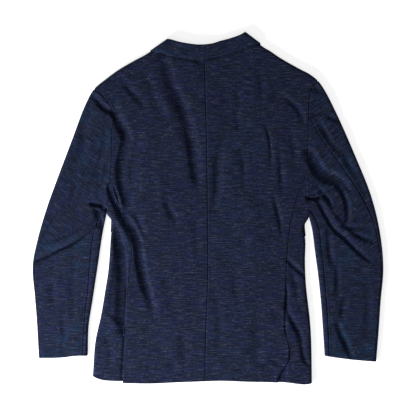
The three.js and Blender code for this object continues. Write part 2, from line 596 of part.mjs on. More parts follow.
// The collar's stand, between the neckline and the roll of the fall.
function collarStand(name) {
  const [left, right] = sides;
  const middle = left.neck.length / (left.neck.length + right.neck.length);
  const [start, end] = STAND_INSET.map((inset, i) => inset / sides[i].neck.length);
  const bottom = joined(
    stretch(left.neck, start, 1, 2 * SEAM_GAP),
    stretch(right.neck, 1, end, 2 * SEAM_GAP),
    middle,
  );
  const roll = line(ROLL_EDGE);
  const top = stretch(roll, ROLL_INSET / roll.length, 1 - ROLL_INSET / roll.length, -3 * SEAM_GAP);
  const flat = patch(
    (up) => bottom(0).lerp(top(0), up),
    (up) => bottom(1).lerp(top(1), up),
    bottom,
    top,
  );
  const surface = (across, up) => raise(flat(across, up), lerp(BODY_RISE, ROLL_HEIGHT - SEAM_GAP, up));
  return wall(name, surface, () => evenly(COLUMNS.stand), evenly(ROWS.stand), { level: [] });
}

// A front button: a dished disc that lies under the fronts.
function button(name, y) {
  const { radius, thickness, rim, slope, dish, chamfer } = BUTTON;
  const profile = [
    [0, 0],
    [radius - chamfer, 0],
    [radius, chamfer],
    [radius - chamfer, thickness],
    [radius - rim, thickness],
    [radius - rim - slope, thickness - dish],
    [0, thickness - dish],
  ].map(([away, height]) => new THREE.Vector2(away, height));
  const mesh = new THREE.Mesh(
    new THREE.LatheGeometry(profile, BUTTON.sides),
    new THREE.MeshStandardMaterial({ color: HORN, roughness: 0.45, metalness: 0 }),
  );
  mesh.rotation.x = Math.PI / 2;
  mesh.position.set(0, y, 0);
  mesh.name = name;
  return mesh;
}

const coat = new THREE.Group();
coat.name = "sport_coat";
for (const [side, hand, word] of [[sides[0], -1, "left"], [sides[1], 1, "right"]]) {
  const at = layout(side, hand);
  coat.add(
    backPanel(at, `back_${word}`),
    sidePanel(at, `side_${word}`),
    frontPanel(at, `front_${word}`),
    topSleeve(at, `topsleeve_${word}`),
    underSleeve(at, `undersleeve_${word}`),
    lapel(at, `lapel_${word}`),
  );
}
coat.add(collarFall("collar_fall"), collarStand("collar_stand"));
BUTTONS_Y.forEach((y, i) => coat.add(button(`front_button_${i + 1}`, y)));

export default coat;
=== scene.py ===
"""A navy sport coat in slub cloth, laid face down: its panels, sleeves, collar and the light on them."""
import logging
import math
from dataclasses import dataclass, field
from enum import Enum

import bpy
import numpy as np
from bpy.types import Material, Node, NodeSocket, NodeTree, Object
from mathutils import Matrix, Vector


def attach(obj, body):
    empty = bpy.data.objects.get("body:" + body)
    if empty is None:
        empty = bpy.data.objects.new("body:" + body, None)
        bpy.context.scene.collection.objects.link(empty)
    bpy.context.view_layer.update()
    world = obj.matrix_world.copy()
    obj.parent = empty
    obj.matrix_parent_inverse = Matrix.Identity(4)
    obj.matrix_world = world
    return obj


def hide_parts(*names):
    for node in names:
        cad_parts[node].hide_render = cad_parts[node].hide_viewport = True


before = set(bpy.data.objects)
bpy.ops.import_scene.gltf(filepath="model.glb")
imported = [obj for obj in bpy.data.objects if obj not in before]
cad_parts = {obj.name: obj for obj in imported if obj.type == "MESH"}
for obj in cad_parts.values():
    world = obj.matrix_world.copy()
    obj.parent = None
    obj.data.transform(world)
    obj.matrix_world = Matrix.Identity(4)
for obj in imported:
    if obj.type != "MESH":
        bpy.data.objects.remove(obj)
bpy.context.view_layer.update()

log = logging.getLogger("coat")

# Sizes in millimetres; meshes are written in metres
MM = 0.001
CLOTH = 2.0  # wall of the cloth with what backs it
SEAM_LAP = 0.1  # how far two pieces run into each other in the groove of their seam
LAYER_GAP = 0.3  # clearance between two layers
BODY_RISE = 14.0  # top of the back over the surface
SLEEVE_RISE = 12.5  # top of a sleeve over the surface
EDGE_HEIGHT = 6.0  # height of a folded edge's outermost line
EDGE_SPLIT = 0.05  # how far two faces part where a folded edge is a seam
EDGE_RADIUS = 7.0  # how far in from a folded edge its roundness goes
FOLD_FLOOR = 4.5  # height that the outer face keeps under the deepest fold
FOLD_END = 0.03  # share of a fold's length at which its taper stops at each end
AHEAD = 0.002  # share of a line's length over which its direction is taken
PLACES = 2001  # places tried along a line for the one nearest a point
STEP = 3.4  # spacing of the mesh over open cloth
HIDDEN_STEP = 7.0  # spacing of the mesh on panels that lie under others
LOWER_STEP = 9.0  # spacing of the mesh on the lower layer of a piece that wraps round
EDGE_STEPS = (0.0, 0.35, 0.9, 1.7, 2.7, 4.0, 5.5, 7.2)  # spacing of the mesh in from an edge
FAN = 1.8  # how slowly the sleeve's rows leave the armpit as they fan out from it
FRONT_APEX = 0.72  # place along the armhole at which the front seam starts
BUTTONS_AT = (-35.0, -135.0)  # the buttons' places up the front
# Waves of the cloth's slow unevenness: length, direction, phase and height
UNEVENNESS = (
    (118, 0.3, 0.4, 0.30), (83, 1.9, 2.1, 0.26), (61, 2.6, 4.0, 0.20), (47, 0.9, 1.2, 0.15),
    (33, 2.2, 5.1, 0.10), (26, 0.1, 3.3, 0.07),
)

FROM_KEY = (0.66, 0.75)  # which way the key light runs over the coat

Pair = tuple[float, float]
Triple = tuple[float, float, float]
Points = list[Pair]
Array = np.ndarray


class Layer(Enum):
    """Which layer of the laid coat a face belongs to."""

    UPPER = 1
    LOWER = -1

class Held(Enum):
    """How a sheet is held."""

    LAID = "laid"
    FOLDED = "folded"


class Edge(Enum):
    """How a piece ends on one of its sides: the dip in mm of its face there, and the dip's width."""

    SEAM = (1.8, 2.4)
    TURNED = (0.8, 1.8)
    FOLDED = (0.0, 1.0)


class Line:
    """A smooth line through guide points, walked by its length from 0 to 1."""

    def __init__(self, points: Points, samples: int = 24) -> None:
        """Fits a centripetal spline.

        Args:
            points: Guide points in mm.
            samples: Places worked out between two guide points.
        """
        p = np.array(points, float)
        p = np.vstack([2 * p[0] - p[1], p, 2 * p[-1] - p[-2]])
        u = np.linspace(0, 1, samples, endpoint=False)[:, None]
        out = []
        for a, b, c, d in zip(p[:-3], p[1:-2], p[2:-1], p[3:]):
            t1 = np.linalg.norm(b - a) ** 0.5
            t2 = t1 + np.linalg.norm(c - b) ** 0.5
            t3 = t2 + np.linalg.norm(d - c) ** 0.5
            t = t1 + (t2 - t1) * u
            ab = a + (b - a) * t / t1
            bc = b + (c - b) * (t - t1) / (t2 - t1)
            cd = c + (d - c) * (t - t2) / (t3 - t2)
            abc = ab + (bc - ab) * t / t2
            bcd = bc + (cd - bc) * (t - t1) / (t3 - t1)
            out.append(abc + (bcd - abc) * (t - t1) / (t2 - t1))
        self.trail = np.vstack([*out, p[-2:-1]])
        walked = np.linalg.norm(np.diff(self.trail, axis=0), axis=1)
        self.places = np.concatenate([[0], np.cumsum(walked)])
        self.length = float(self.places[-1])

    def at(self, t: Array | float) -> Array:
        """Gives the points at places along the line, each from 0 to 1."""
        walked = np.clip(np.asarray(t, float), 0, 1) * self.length
        return np.stack([np.interp(walked, self.places, self.trail[:, k]) for k in (0, 1)], -1)

    def aside(self, t: Array, distance: float, backwards: bool = False) -> Array:
        """Gives the points at places along the line, moved to its side.

        Args:
            t: Places along the line.
            distance: How far, in mm, to the left of the travel.
            backwards: Whether the travel is from the line's end.
        """
        sign = -1.0 if backwards else 1.0
        ahead = (self.at(t + AHEAD) - self.at(t - AHEAD)) * sign
        ahead /= np.linalg.norm(ahead, axis=-1, keepdims=True)
        return self.at(t) + np.stack([-ahead[..., 1], ahead[..., 0]], -1) * distance

    def nearest(self, point: Pair) -> float:
        """Gives the place along the line that lies nearest a point."""
        t = np.linspace(0, 1, PLACES)
        return float(t[np.argmin(np.linalg.norm(self.at(t) - np.array(point), axis=1))])


def distance_to(p: Array, trail: Array) -> tuple[Array, Array, Array]:
    """Measures points against a trail.

    Args:
        p: Points, as rows of x and y.
        trail: The trail's points.

    Returns:
        The distance, the place along the trail from 0 to 1, and 1 where the point is to the left.
    """
    least = np.full(len(p), np.inf)
    along = np.zeros(len(p))
    left = np.ones(len(p))
    for i, (a, b) in enumerate(zip(trail[:-1], trail[1:])):
        d = b - a
        q = p - a
        t = np.clip((q @ d) / (d @ d), 0, 1)
        away = (q[:, 0] - t * d[0]) ** 2 + (q[:, 1] - t * d[1]) ** 2
        near = away < least
        least = np.where(near, away, least)
        along = np.where(near, (i + t) / (len(trail) - 1), along)
        left = np.where(near, np.sign(d[0] * q[:, 1] - d[1] * q[:, 0]), left)
    return np.sqrt(least), along, left


def smooth(x: Array | float, low: float, high: float) -> Array:
    """Eases from 0 at low to 1 at high."""
    t = np.clip((np.asarray(x, float) - low) / (high - low), 0, 1)
    return t * t * (3 - 2 * t)


@dataclass(frozen=True)
class Fold:
    """A trough or ridge of the cloth.

    left and right are its half widths beside its path, so that one side may be steeper. The path runs along
    the middle of its shaded flank, or along its bottom where by_bottom is set.
    """

    depth: float
    left: float
    right: float
    path: Points
    taper: float = 0.5
    by_bottom: bool = False

    def trail(self) -> Array:
        """Gives the places along the fold's bottom."""
        path = np.array(self.path, float)
        if not self.by_bottom:
            run = path[-1] - path[0]
            lit = self.left if run[0] * FROM_KEY[1] < run[1] * FROM_KEY[0] else self.right
            path = path + np.array(FROM_KEY) * lit / 2
        return Line(path, 8).trail

    def press(self, p: Array) -> Array:
        """Gives how deep the fold is at each point."""
        depth = np.zeros(len(p))
        trail = self.trail()
        reach = max(self.left, self.right)
        low, high = trail.min(0) - reach, trail.max(0) + reach
        near = np.all((p > low) & (p < high), axis=1)
        if near.any():
            away, along, left = distance_to(p[near], trail)
            across = np.clip(away / np.where(left > 0, self.left, self.right), 0, 1)
            ends = np.sin(math.pi * np.clip(along, FOLD_END, 1 - FOLD_END)) ** self.taper
            depth[near] = self.depth * ends * 0.5 * (1 + np.cos(math.pi * across))
        return depth


@dataclass
class Side:
    """The guide lines of one side of the coat. hand is -1 on the wearer's left and 1 on the right."""

    hand: int
    shoulder: Points
    neck: Points
    armhole: Points
    apex: Pair
    side_seam: Points
    front_seam: Points
    body_edge: Points
    side_hem: Points
    front_side_hem: Points
    back_hem: Points
    front_hem: Points
    front_edge: Points
    outer: Points
    inner: Points
    cuff: Points
    back_sleeve_seam: Points
    front_sleeve_seam: Points
    lapel_edge: Points
    lapel_roll: Points
    elbow: Points
    weft_turn: float
    word: str = field(init=False)

    def __post_init__(self) -> None:
        """Fits the lines and splits the crest at the shoulder's tip."""
        self.word = "left" if self.hand < 0 else "right"
        self.crest = Line([*self.outer[:0:-1], *self.shoulder])
        self.tip = self.crest.nearest(self.shoulder[0])
        self.lines = {name: Line(value) for name, value in vars(self).items() if isinstance(value, list)}
        arm = self.lines["armhole"]
        self.apex_at = arm.nearest(self.apex)
        self.lines["side_seam"] = Line([tuple(arm.at(self.apex_at)), *self.side_seam])
        self.lines["front_seam"] = Line([tuple(arm.at(FRONT_APEX)), *self.front_seam])

    def outer_at(self, s: Array) -> Array:
        """Gives the sleeve's outer edge, from the shoulder's tip to the cuff."""
        return self.crest.at(self.tip * (1 - s))

    def shoulder_at(self, t: Array) -> Array:
        """Gives the shoulder line, from its tip to the neck."""
        return self.crest.at(self.tip + (1 - self.tip) * t)


LEFT = Side(
    hand=-1,
    shoulder=[(-256, 267), (-230, 289), (-200, 311), (-162, 333), (-142, 343.5), (-128, 352.5), (-112, 363)],
    neck=[(-112, 363), (-90, 358), (-50, 349), (-8, 346)],
    armhole=[(-256, 267), (-238, 254), (-221, 232), (-212, 203), (-215, 175), (-217, 108), (-220.5, 67.5),
             (-224, 40), (-228, -13)],
    apex=(-220.5, 67.5),
    side_seam=[(-216, 40), (-202, 2), (-189, -32), (-178, -65), (-171, -99), (-175, -140), (-180, -180),
               (-181, -229), (-186, -295), (-192, -389)],
    front_seam=[(-212, 20), (-196, -30), (-180, -80), (-168, -160), (-166, -260), (-170, -389)],
    body_edge=[(-228, -13), (-217, -30), (-219, -72), (-224, -140), (-231, -185), (-240, -239), (-253, -300),
               (-259, -378)],
    side_hem=[(-191.5, -389), (-237, -386), (-259, -378)],
    front_side_hem=[(-170, -389), (-225, -386), (-259, -378)],
    back_hem=[(-192, -393), (-130, -394), (-60, -391), (-6.5, -389)],
    front_hem=[(-170, -389), (-90, -391), (-35, -386), (2, -364), (15, -330)],
    front_edge=[(15, -330), (18, -200), (18, -40), (6, -18), (-5, 0), (-24, 90), (-52, 220), (-77, 332),
                (-112, 363)],
    outer=[(-256, 267), (-276, 231), (-306, 152), (-340, 62), (-363, -2), (-383, -71), (-394, -130),
           (-389, -200), (-385, -250), (-380, -337)],
    inner=[(-228, -13), (-237, -58), (-247, -126), (-259, -205), (-268, -265), (-270, -332)],
    cuff=[(-380, -337), (-330, -336), (-294, -332), (-270, -332)],
    back_sleeve_seam=[(-215, 175), (-252, 121), (-304, 37), (-351, -31), (-378, -80), (-390, -130),
                      (-385, -200), (-381, -250), (-376, -337)],
    front_sleeve_seam=[(-238, -2), (-256, -54), (-264, -110), (-270, -190), (-277, -250), (-281, -332)],
    lapel_edge=[(-13, 3), (-44, 40), (-88, 120), (-120, 205), (-138, 290)],
    lapel_roll=[(-5, 3), (-24, 90), (-52, 220), (-77, 332)],
    elbow=[(-222, -2), (-236, -9), (-254, -38), (-288, -70), (-340, -97), (-400, -124)],
    weft_turn=-36,
)
RIGHT = Side(
    hand=1,
    shoulder=[(247, 286), (228, 301), (207, 312), (162, 337.5), (140, 352.5), (126, 360.5), (115, 368.6),
              (98, 381.5)],
    neck=[(98, 381.5), (75, 372), (40, 356), (-8, 346)],
    armhole=[(247, 286), (233, 268), (227.5, 240), (226, 205), (225, 150), (225, 90), (227, 63), (227, -21)],
    apex=(225, 90),
    side_seam=[(214, 58), (200, 22), (191, -9), (183, -50), (177.5, -110), (175, -165), (171.5, -241),
               (171, -300), (173, -391)],
    front_seam=[(214, 22), (196, -30), (180, -80), (168, -160), (160, -260), (160, -391)],
    body_edge=[(227, -21), (216, -42), (219, -75), (218, -120), (220, -170), (229, -252), (232, -300),
               (233.5, -394)],
    side_hem=[(173.5, -391), (215, -396), (233.5, -394)],
    front_side_hem=[(160, -391), (205, -395), (233.5, -394)],
    back_hem=[(173, -391.5), (100, -390), (31, -388), (-6.5, -389)],
    front_hem=[(160, -391), (90, -390), (35, -385), (-2, -364), (-15, -330)],
    front_edge=[(-15, -330), (-18, -200), (-18, -40), (-6, -18), (5, 0), (24, 90), (50, 220), (70, 345),
                (98, 381.5)],
    outer=[(247, 286), (262, 265), (290, 210), (328, 124), (367, 26), (387, -58), (394, -135), (388, -210),
           (384, -270), (378, -345)],
    inner=[(227, -21), (234, -49), (240, -96), (247.5, -152), (254, -215), (262, -332)],
    cuff=[(378, -345), (340, -342), (295, -337), (262, -332)],
    back_sleeve_seam=[(226, 205), (254, 157), (295, 101), (337, 40), (369, -22), (383, -80), (390, -135),
                      (384, -210), (380, -270), (374, -345)],
    front_sleeve_seam=[(232, -6), (247, -32), (256, -90), (264, -173), (270, -263), (273, -333)],
    lapel_edge=[(13, 3), (44, 40), (88, 122), (118, 210), (136, 302)],
    lapel_roll=[(5, 3), (24, 90), (50, 220), (70, 345)],
    elbow=[(232, 24), (245, 18), (263, -20), (283, -50), (308, -72), (333, -97), (400, -140)],
    weft_turn=36,
)
SIDES = (LEFT, RIGHT)
CENTRE_BACK = Line([(-6.5, -389), (-4.5, -277), (0, -150), (0, -60), (-3, 153), (-6, 265), (-8, 346)])

# Folds of the back, from the collar down
BACK_FOLDS = (
    Fold(6.8, 15, 23, [(-103, 332), (-92, 288), (-79, 252), (-61, 214), (-47, 175),
                       (-38, 130), (-29, 62)], 0.35),
    Fold(5.4, 20, 13, [(-50, 172), (-42, 132), (-37, 96), (-30, 48)]),
    Fold(-1.8, 16, 16, [(-128, 300), (-112, 258), (-92, 210), (-76, 165), (-66, 120)]),
    Fold(4.2, 12, 11, [(-193, 281), (-182, 265), (-171, 252), (-160, 241), (-149, 224)]),
    Fold(14, 20, 14, [(-213, 212), (-203, 184), (-194, 168), (-188, 150), (-193, 126), (-200, 90),
                      (-199, 52), (-191, 22), (-184, -12)], 0.25),
    Fold(7.0, 26, 19, [(-164, 150), (-169, 126), (-176, 102), (-178, 60), (-177, 24), (-175, -6)]),
    Fold(6.5, 11, 9, [(-265, 251), (-252, 238), (-243, 227), (-232, 218), (-220, 211), (-209, 198)]),
    Fold(8.5, 7, 10, [(-225, 52), (-221, 30), (-212, 8), (-200, -13)]),
    Fold(4.5, 4, 5, [(-216, 54), (-207, 29), (-200, 7), (-197, -11)]),
    Fold(11, 11, 19, [(-202, -8), (-189, -31), (-178, -47), (-167, -66), (-159, -90), (-155, -125),
                      (-150, -158), (-146, -182)], 0.3),
    Fold(3.6, 11, 10, [(-166, -16), (-153, -45), (-144, -76)]),
    Fold(7.0, 12, 17, [(-158, -98), (-155, -132), (-147, -162), (-138, -198), (-128, -238)]),
    Fold(17, 4, 27, [(-199, -52), (-188, -92), (-184, -130), (-184, -180), (-187, -232), (-189, -266)], 0.3,
         by_bottom=True),
    Fold(-3.0, 12, 12, [(-213, -62), (-216, -110), (-221, -170), (-230, -238)], by_bottom=True),
    Fold(-2.0, 8, 9, [(-229, -6), (-211, -27), (-194, -54), (-181, -79), (-172, -100)]),
    Fold(-2.4, 9, 14, [(-240, -238), (-218, -258), (-194, -284)]),
    Fold(3.6, 7, 3.8, [(126, 186), (131, 172), (136, 152), (139, 120), (139, 82)]),
    Fold(3.8, 10, 9, [(160, 121), (160, 85), (162, 63), (164, 34)]),
    Fold(4.6, 8, 8, [(145, 26), (151, 2), (155, -16), (160, -38), (163, -62)]),
    Fold(6.0, 14, 16, [(35, 156), (22, 119), (18, 90), (17, 55), (16, 29), (8, -6)]),
    Fold(2.6, 15, 13, [(63, 272), (65, 232), (62, 202), (68, 160)]),
    Fold(2.2, 12, 12, [(72, 124), (78, 80), (76, 36)]),
    Fold(3.8, 11, 11, [(167, 246), (189, 229), (200, 216), (209, 194)]),
    Fold(3.0, 12, 12, [(-99, 26), (-94, 0), (-85, -16), (-72, -42)]),
    Fold(2.2, 10, 10, [(-36, 332), (-22, 324), (-10, 316)]),
    Fold(4.2, 9, 10, [(171, -114), (189, -133), (202, -144), (218, -157)]),
    Fold(3.2, 7, 7, [(176, -184), (174, -232)]),
    Fold(5.4, 9, 10, [(172, -222), (184, -252), (196, -274), (211, -298)]),
    Fold(4.6, 10, 9, [(199, -279), (207, -308), (211, -331), (216, -346), (231, -360)]),
    Fold(2.0, 18, 20, [(-110, -146), (-92, -190), (-84, -244)]),
    Fold(1.8, 20, 18, [(64, -116), (58, -170), (66, -236)]),
    Fold(1.7, 18, 18, [(-70, -266), (-58, -320), (-60, -378)]),
    Fold(1.8, 18, 18, [(112, -226), (104, -290), (110, -356)]),
    Fold(1.8, 15, 15, [(10, -196), (22, -250), (20, -316)]),
    Fold(-1.7, 24, 22, [(-120, 66), (-110, 10), (-112, -56)]),
    Fold(-1.8, 24, 24, [(80, 26), (96, -40), (92, -106)]),
    Fold(3.0, 12, 12, [(219, 268), (236, 262), (248, 258)]),
    Fold(2.6, 9, 9, [(235, 282), (240, 270), (249, 260)]),
    Fold(2.2, 12, 12, [(186, -146), (196, -190), (200, -220)]),
    Fold(1.9, 9, 9, [(-232, -286), (-222, -330), (-226, -372)]),
    Fold(1.8, 14, 14, [(-150, 300), (-132, 262), (-122, 224)]),
    Fold(2.0, 14, 14, [(110, 300), (118, 262), (112, 226)]),
    Fold(2.0, 12, 10, [(184, 160), (192, 120), (190, 84)]),
    Fold(1.6, 16, 14, [(30, 250), (36, 214), (30, 180)]),
    Fold(1.6, 14, 14, [(-22, -20), (-30, -70), (-24, -120)]),
)
# Folds of the sleeves: first the left one, then the right one
SLEEVE_FOLDS = (
    Fold(9.0, 3.8, 13, [(-226, 2), (-236, -7), (-245, -25), (-254, -38), (-277, -61), (-306, -81),
                        (-340, -97), (-367, -112), (-392, -120)], 0.22, True),
    Fold(-2.8, 14, 7, [(-256, -16), (-280, -48), (-306, -66), (-345, -82), (-382, -92)], 0.5),
    Fold(12, 6, 8, [(-264, 8), (-251, 5), (-240, 2), (-231, -6)], 0.2),
    Fold(5.5, 6, 13, [(-258, 0), (-249, -16), (-243, -34), (-240, -52)]),
    Fold(4.2, 16, 16, [(-268, 222), (-280, 170), (-290, 120), (-316, 62)]),
    Fold(3.0, 12, 11, [(-232, 184), (-236, 140), (-246, 96), (-264, 56)]),
    Fold(3.2, 11, 12, [(-226, 108), (-234, 66), (-250, 26)]),
    Fold(2.4, 12, 12, [(-300, 64), (-306, 20), (-324, -20)]),
    Fold(2.2, 11, 12, [(-284, 18), (-300, -10), (-326, -38)]),
    Fold(2.4, 14, 14, [(-350, -130), (-354, -180), (-348, -236)]),
    Fold(2.0, 13, 14, [(-300, -116), (-308, -180), (-306, -256)]),
    Fold(2.0, 12, 12, [(-330, -236), (-326, -290), (-334, -334)]),
    Fold(3.2, 9, 13, [(245, 190), (256, 171), (263, 160), (274, 142), (292, 118)]),
    Fold(3.6, 9, 9, [(225, 205), (247, 212), (266, 222)]),
    Fold(3.2, 9, 9, [(262, 204), (281, 197), (298, 190)]),
    Fold(16, 14, 25, [(224, 116), (234, 96), (243, 80), (256, 68), (272, 61), (286, 53), (300, 43)], 0.35),
    Fold(6.0, 10, 9, [(280, 56), (292, 40), (301, 27), (308, 8), (311, -14), (309, -36), (300, -50)]),
    Fold(4.4, 8, 8, [(294, -43), (322, -48), (352, -44)]),
    Fold(4.2, 8, 8, [(320, -59), (346, -70), (372, -77)]),
    Fold(6.6, 11, 4.2, [(240, 24), (252, 2), (263, -20), (283, -50), (308, -72), (333, -97),
                         (362, -120)], 0.3, True),
    Fold(-2.8, 8, 11, [(258, 22), (274, -16), (292, -40), (316, -62), (344, -84)]),
    Fold(12, 5, 6, [(220, 20), (232, 19), (244, 19), (249, 22)], 0.2),
    Fold(12, 5, 5, [(240, 19), (254, 28), (263, 35), (279, 47)], 0.25, by_bottom=True),
    Fold(-3.0, 8, 7, [(230, 34), (248, 42), (262, 54)]),
    Fold(7.0, 6, 12, [(249, 38), (257, 28), (266, 16), (272, 6)]),
    Fold(3.6, 11, 11, [(268, -45), (270, -94), (276, -134)]),
    Fold(3.8, 11, 11, [(286, -131), (288, -166), (286, -199)]),
    Fold(3.6, 12, 12, [(307, -203), (300, -230), (296, -260)]),
    Fold(6.2, 10, 12, [(287, -256), (295, -286), (304, -304), (312, -322), (319, -340)]),
    Fold(2.0, 14, 14, [(352, -166), (356, -230), (350, -296)]),
    Fold(1.2, 14, 14, [(330, 74), (346, 30), (358, -10)]),
    Fold(2.6, 12, 12, [(296, 128), (312, 96), (330, 66)]),
)
# Grooves that the pieces press into what lies under their edges
GROOVES = (
    Fold(1.5, 8, 4.5, [(-134, 352), (-112, 348), (-99, 345.5), (-85, 341), (-58, 336), (-34, 331),
                       (-18, 332.5), (-9, 334), (31, 341), (58, 350), (72, 354.5), (95, 364),
                       (120, 370)], 0.1, True),
    Fold(1.1, 3.0, 3.0, [(-177, -160), (-182, -185), (-183, -229), (-188, -295), (-194, -392)], 0.15, True),
)


class Relief:
    """The heights of the laid coat's layers."""

    def __init__(self, folds: tuple[Fold, ...]) -> None:
        """Keeps the folds and the folded edges' lines."""
        self.folds = folds
        self.edges = [
            line.trail
            for side in SIDES
            for line in (side.crest, side.lines["inner"], side.lines["body_edge"])
        ]

    def round(self, p: Array) -> Array:
        """Gives how far each point has risen from a folded edge's line, from 0 to 1."""
        least = np.full(len(p), EDGE_RADIUS + 1)
        for trail in self.edges:
            near = np.all((p > trail.min(0) - EDGE_RADIUS) & (p < trail.max(0) + EDGE_RADIUS), axis=1)
            if near.any():
                away, _, _ = distance_to(p[near], trail)
                least[near] = np.minimum(least[near], away)
        return np.sqrt(1 - (1 - np.clip(least / EDGE_RADIUS, 0, 1)) ** 2)

    def depth(self, p: Array, tall: Array) -> Array:
        """Gives how deep the folds are at each point of a layer, with the cloth's slow unevenness."""
        total = sum((fold.press(p) for fold in self.folds), np.zeros(len(p)))
        deepest = tall - FOLD_FLOOR
        total = np.where(total > 0, deepest * np.tanh(total / deepest), total)
        x, y = p[:, 0], p[:, 1]
        uneven = np.zeros(len(p))
        for wide, tilt, phase, size in UNEVENNESS:
            bend = 0.7 * np.sin(y / (1.7 * wide) + 2 * phase) + 0.6 * np.sin(x / (2.3 * wide) + phase)
            along = (x * math.cos(tilt) + y * math.sin(tilt)) * 2 * math.pi / wide
            uneven += size * np.sin(along + phase + bend)
        return total + uneven

    def upper(self, p: Array, rise: Array | float, split: bool = False) -> Array:
        """Gives the height of the upper layer.

        Args:
            p: Points in mm, in any grid.
            rise: Height of the layer away from its edges.
            split: Whether the folded edge is a seam.
        """
        flat = p.reshape(-1, 2)
        edge = EDGE_HEIGHT + (EDGE_SPLIT if split else 0)
        rounded = self.round(flat)
        tall = np.broadcast_to(rise, p.shape[:-1]).reshape(-1)
        return (edge + (tall - edge - self.depth(flat, tall)) * rounded).reshape(p.shape[:-1])

    def lower(self, p: Array, lift: Array | float, split: bool = False) -> Array:
        """Gives the height of the lower layer, which lies at lift over the surface."""
        flat = p.reshape(-1, 2)
        edge = EDGE_HEIGHT - (EDGE_SPLIT if split else 0)
        rounded = self.round(flat)
        low = np.broadcast_to(lift, p.shape[:-1]).reshape(-1)
        return (low + (edge - low) * (1 - rounded)).reshape(p.shape[:-1])


def stops(length: float, edged: tuple[bool, bool] = (True, True), step: float = STEP) -> Array:
    """Gives places from 0 to 1 across a length, closer together at its edged ends."""
    fine = np.array(EDGE_STEPS)
    low = fine if edged[0] else fine[:1]
    high = fine if edged[1] else fine[:1]
    middle = np.linspace(low[-1], length - high[-1], max(2, round((length - low[-1] - high[-1]) / step) + 1))
    return np.concatenate([low[:-1], middle, length - high[-2::-1]]) / length


def patch(west: Array, east: Array, south: Array, north: Array, u: Array,
          v: Array) -> Array:
    """Fills in between four sides, of which west and east are kept exactly.

    Args:
        west: Points up the first side, one for each v.
        east: Points up the last side.
        south: Points across the lower side, one for each u.
        north: Points across the upper side.
        u: Places across.
        v: Places up.

    Returns:
        The grid of points, a row for each v.
    """
    u, v = u[None, :, None], v[:, None, None]
    below = south - (south[:1] * (1 - u[0]) + south[-1:] * u[0])
    above = north - (north[:1] * (1 - u[0]) + north[-1:] * u[0])
    return west[:, None] * (1 - u) + east[:, None] * u + below[None] * (1 - v) + above[None] * v


def joined(first: Array, second: Array, t: Array, joint: float) -> Array:
    """Takes the first points up to the joint and the second ones beyond it."""
    return np.where((t < joint)[:, None], first, second)


def raised(p: Array, z: Array) -> Array:
    """Gives a grid of points its heights."""
    return np.concatenate([p, z[..., None]], -1)


def weft_of(p: Array, turn: float = 0.0) -> Array:
    """Gives each point's place along the weft and across it, the weft turned by an angle in degrees."""
    a = math.radians(turn)
    x, y = p[..., 0], p[..., 1]
    return np.stack([x * math.cos(a) + y * math.sin(a), -x * math.sin(a) + y * math.cos(a)], -1)


def new_object(name: str, points: Array, faces: list, material: Material) -> Object:
    """Makes a smooth mesh and links it to the scene.

    Args:
        name: The object's name.
        points: Its points in mm.
        faces: Its faces, as places in the list of points.
        material: Its material.

    Returns:
        The new object.
    """
    mesh = bpy.data.meshes.new(name)
    mesh.from_pydata((np.asarray(points) * MM).tolist(), [], faces)
    mesh.polygons.foreach_set("use_smooth", np.ones(len(faces), bool))
    mesh.materials.append(material)
    mesh.update()
    made = bpy.data.objects.new(name, mesh)
    bpy.context.scene.collection.objects.link(made)
    return made


@dataclass(frozen=True)
class Cut:
    """What a sheet was cut to, in metres, and how it is held."""

    width: float
    length: float
    area: float
    held: Held = Held.LAID


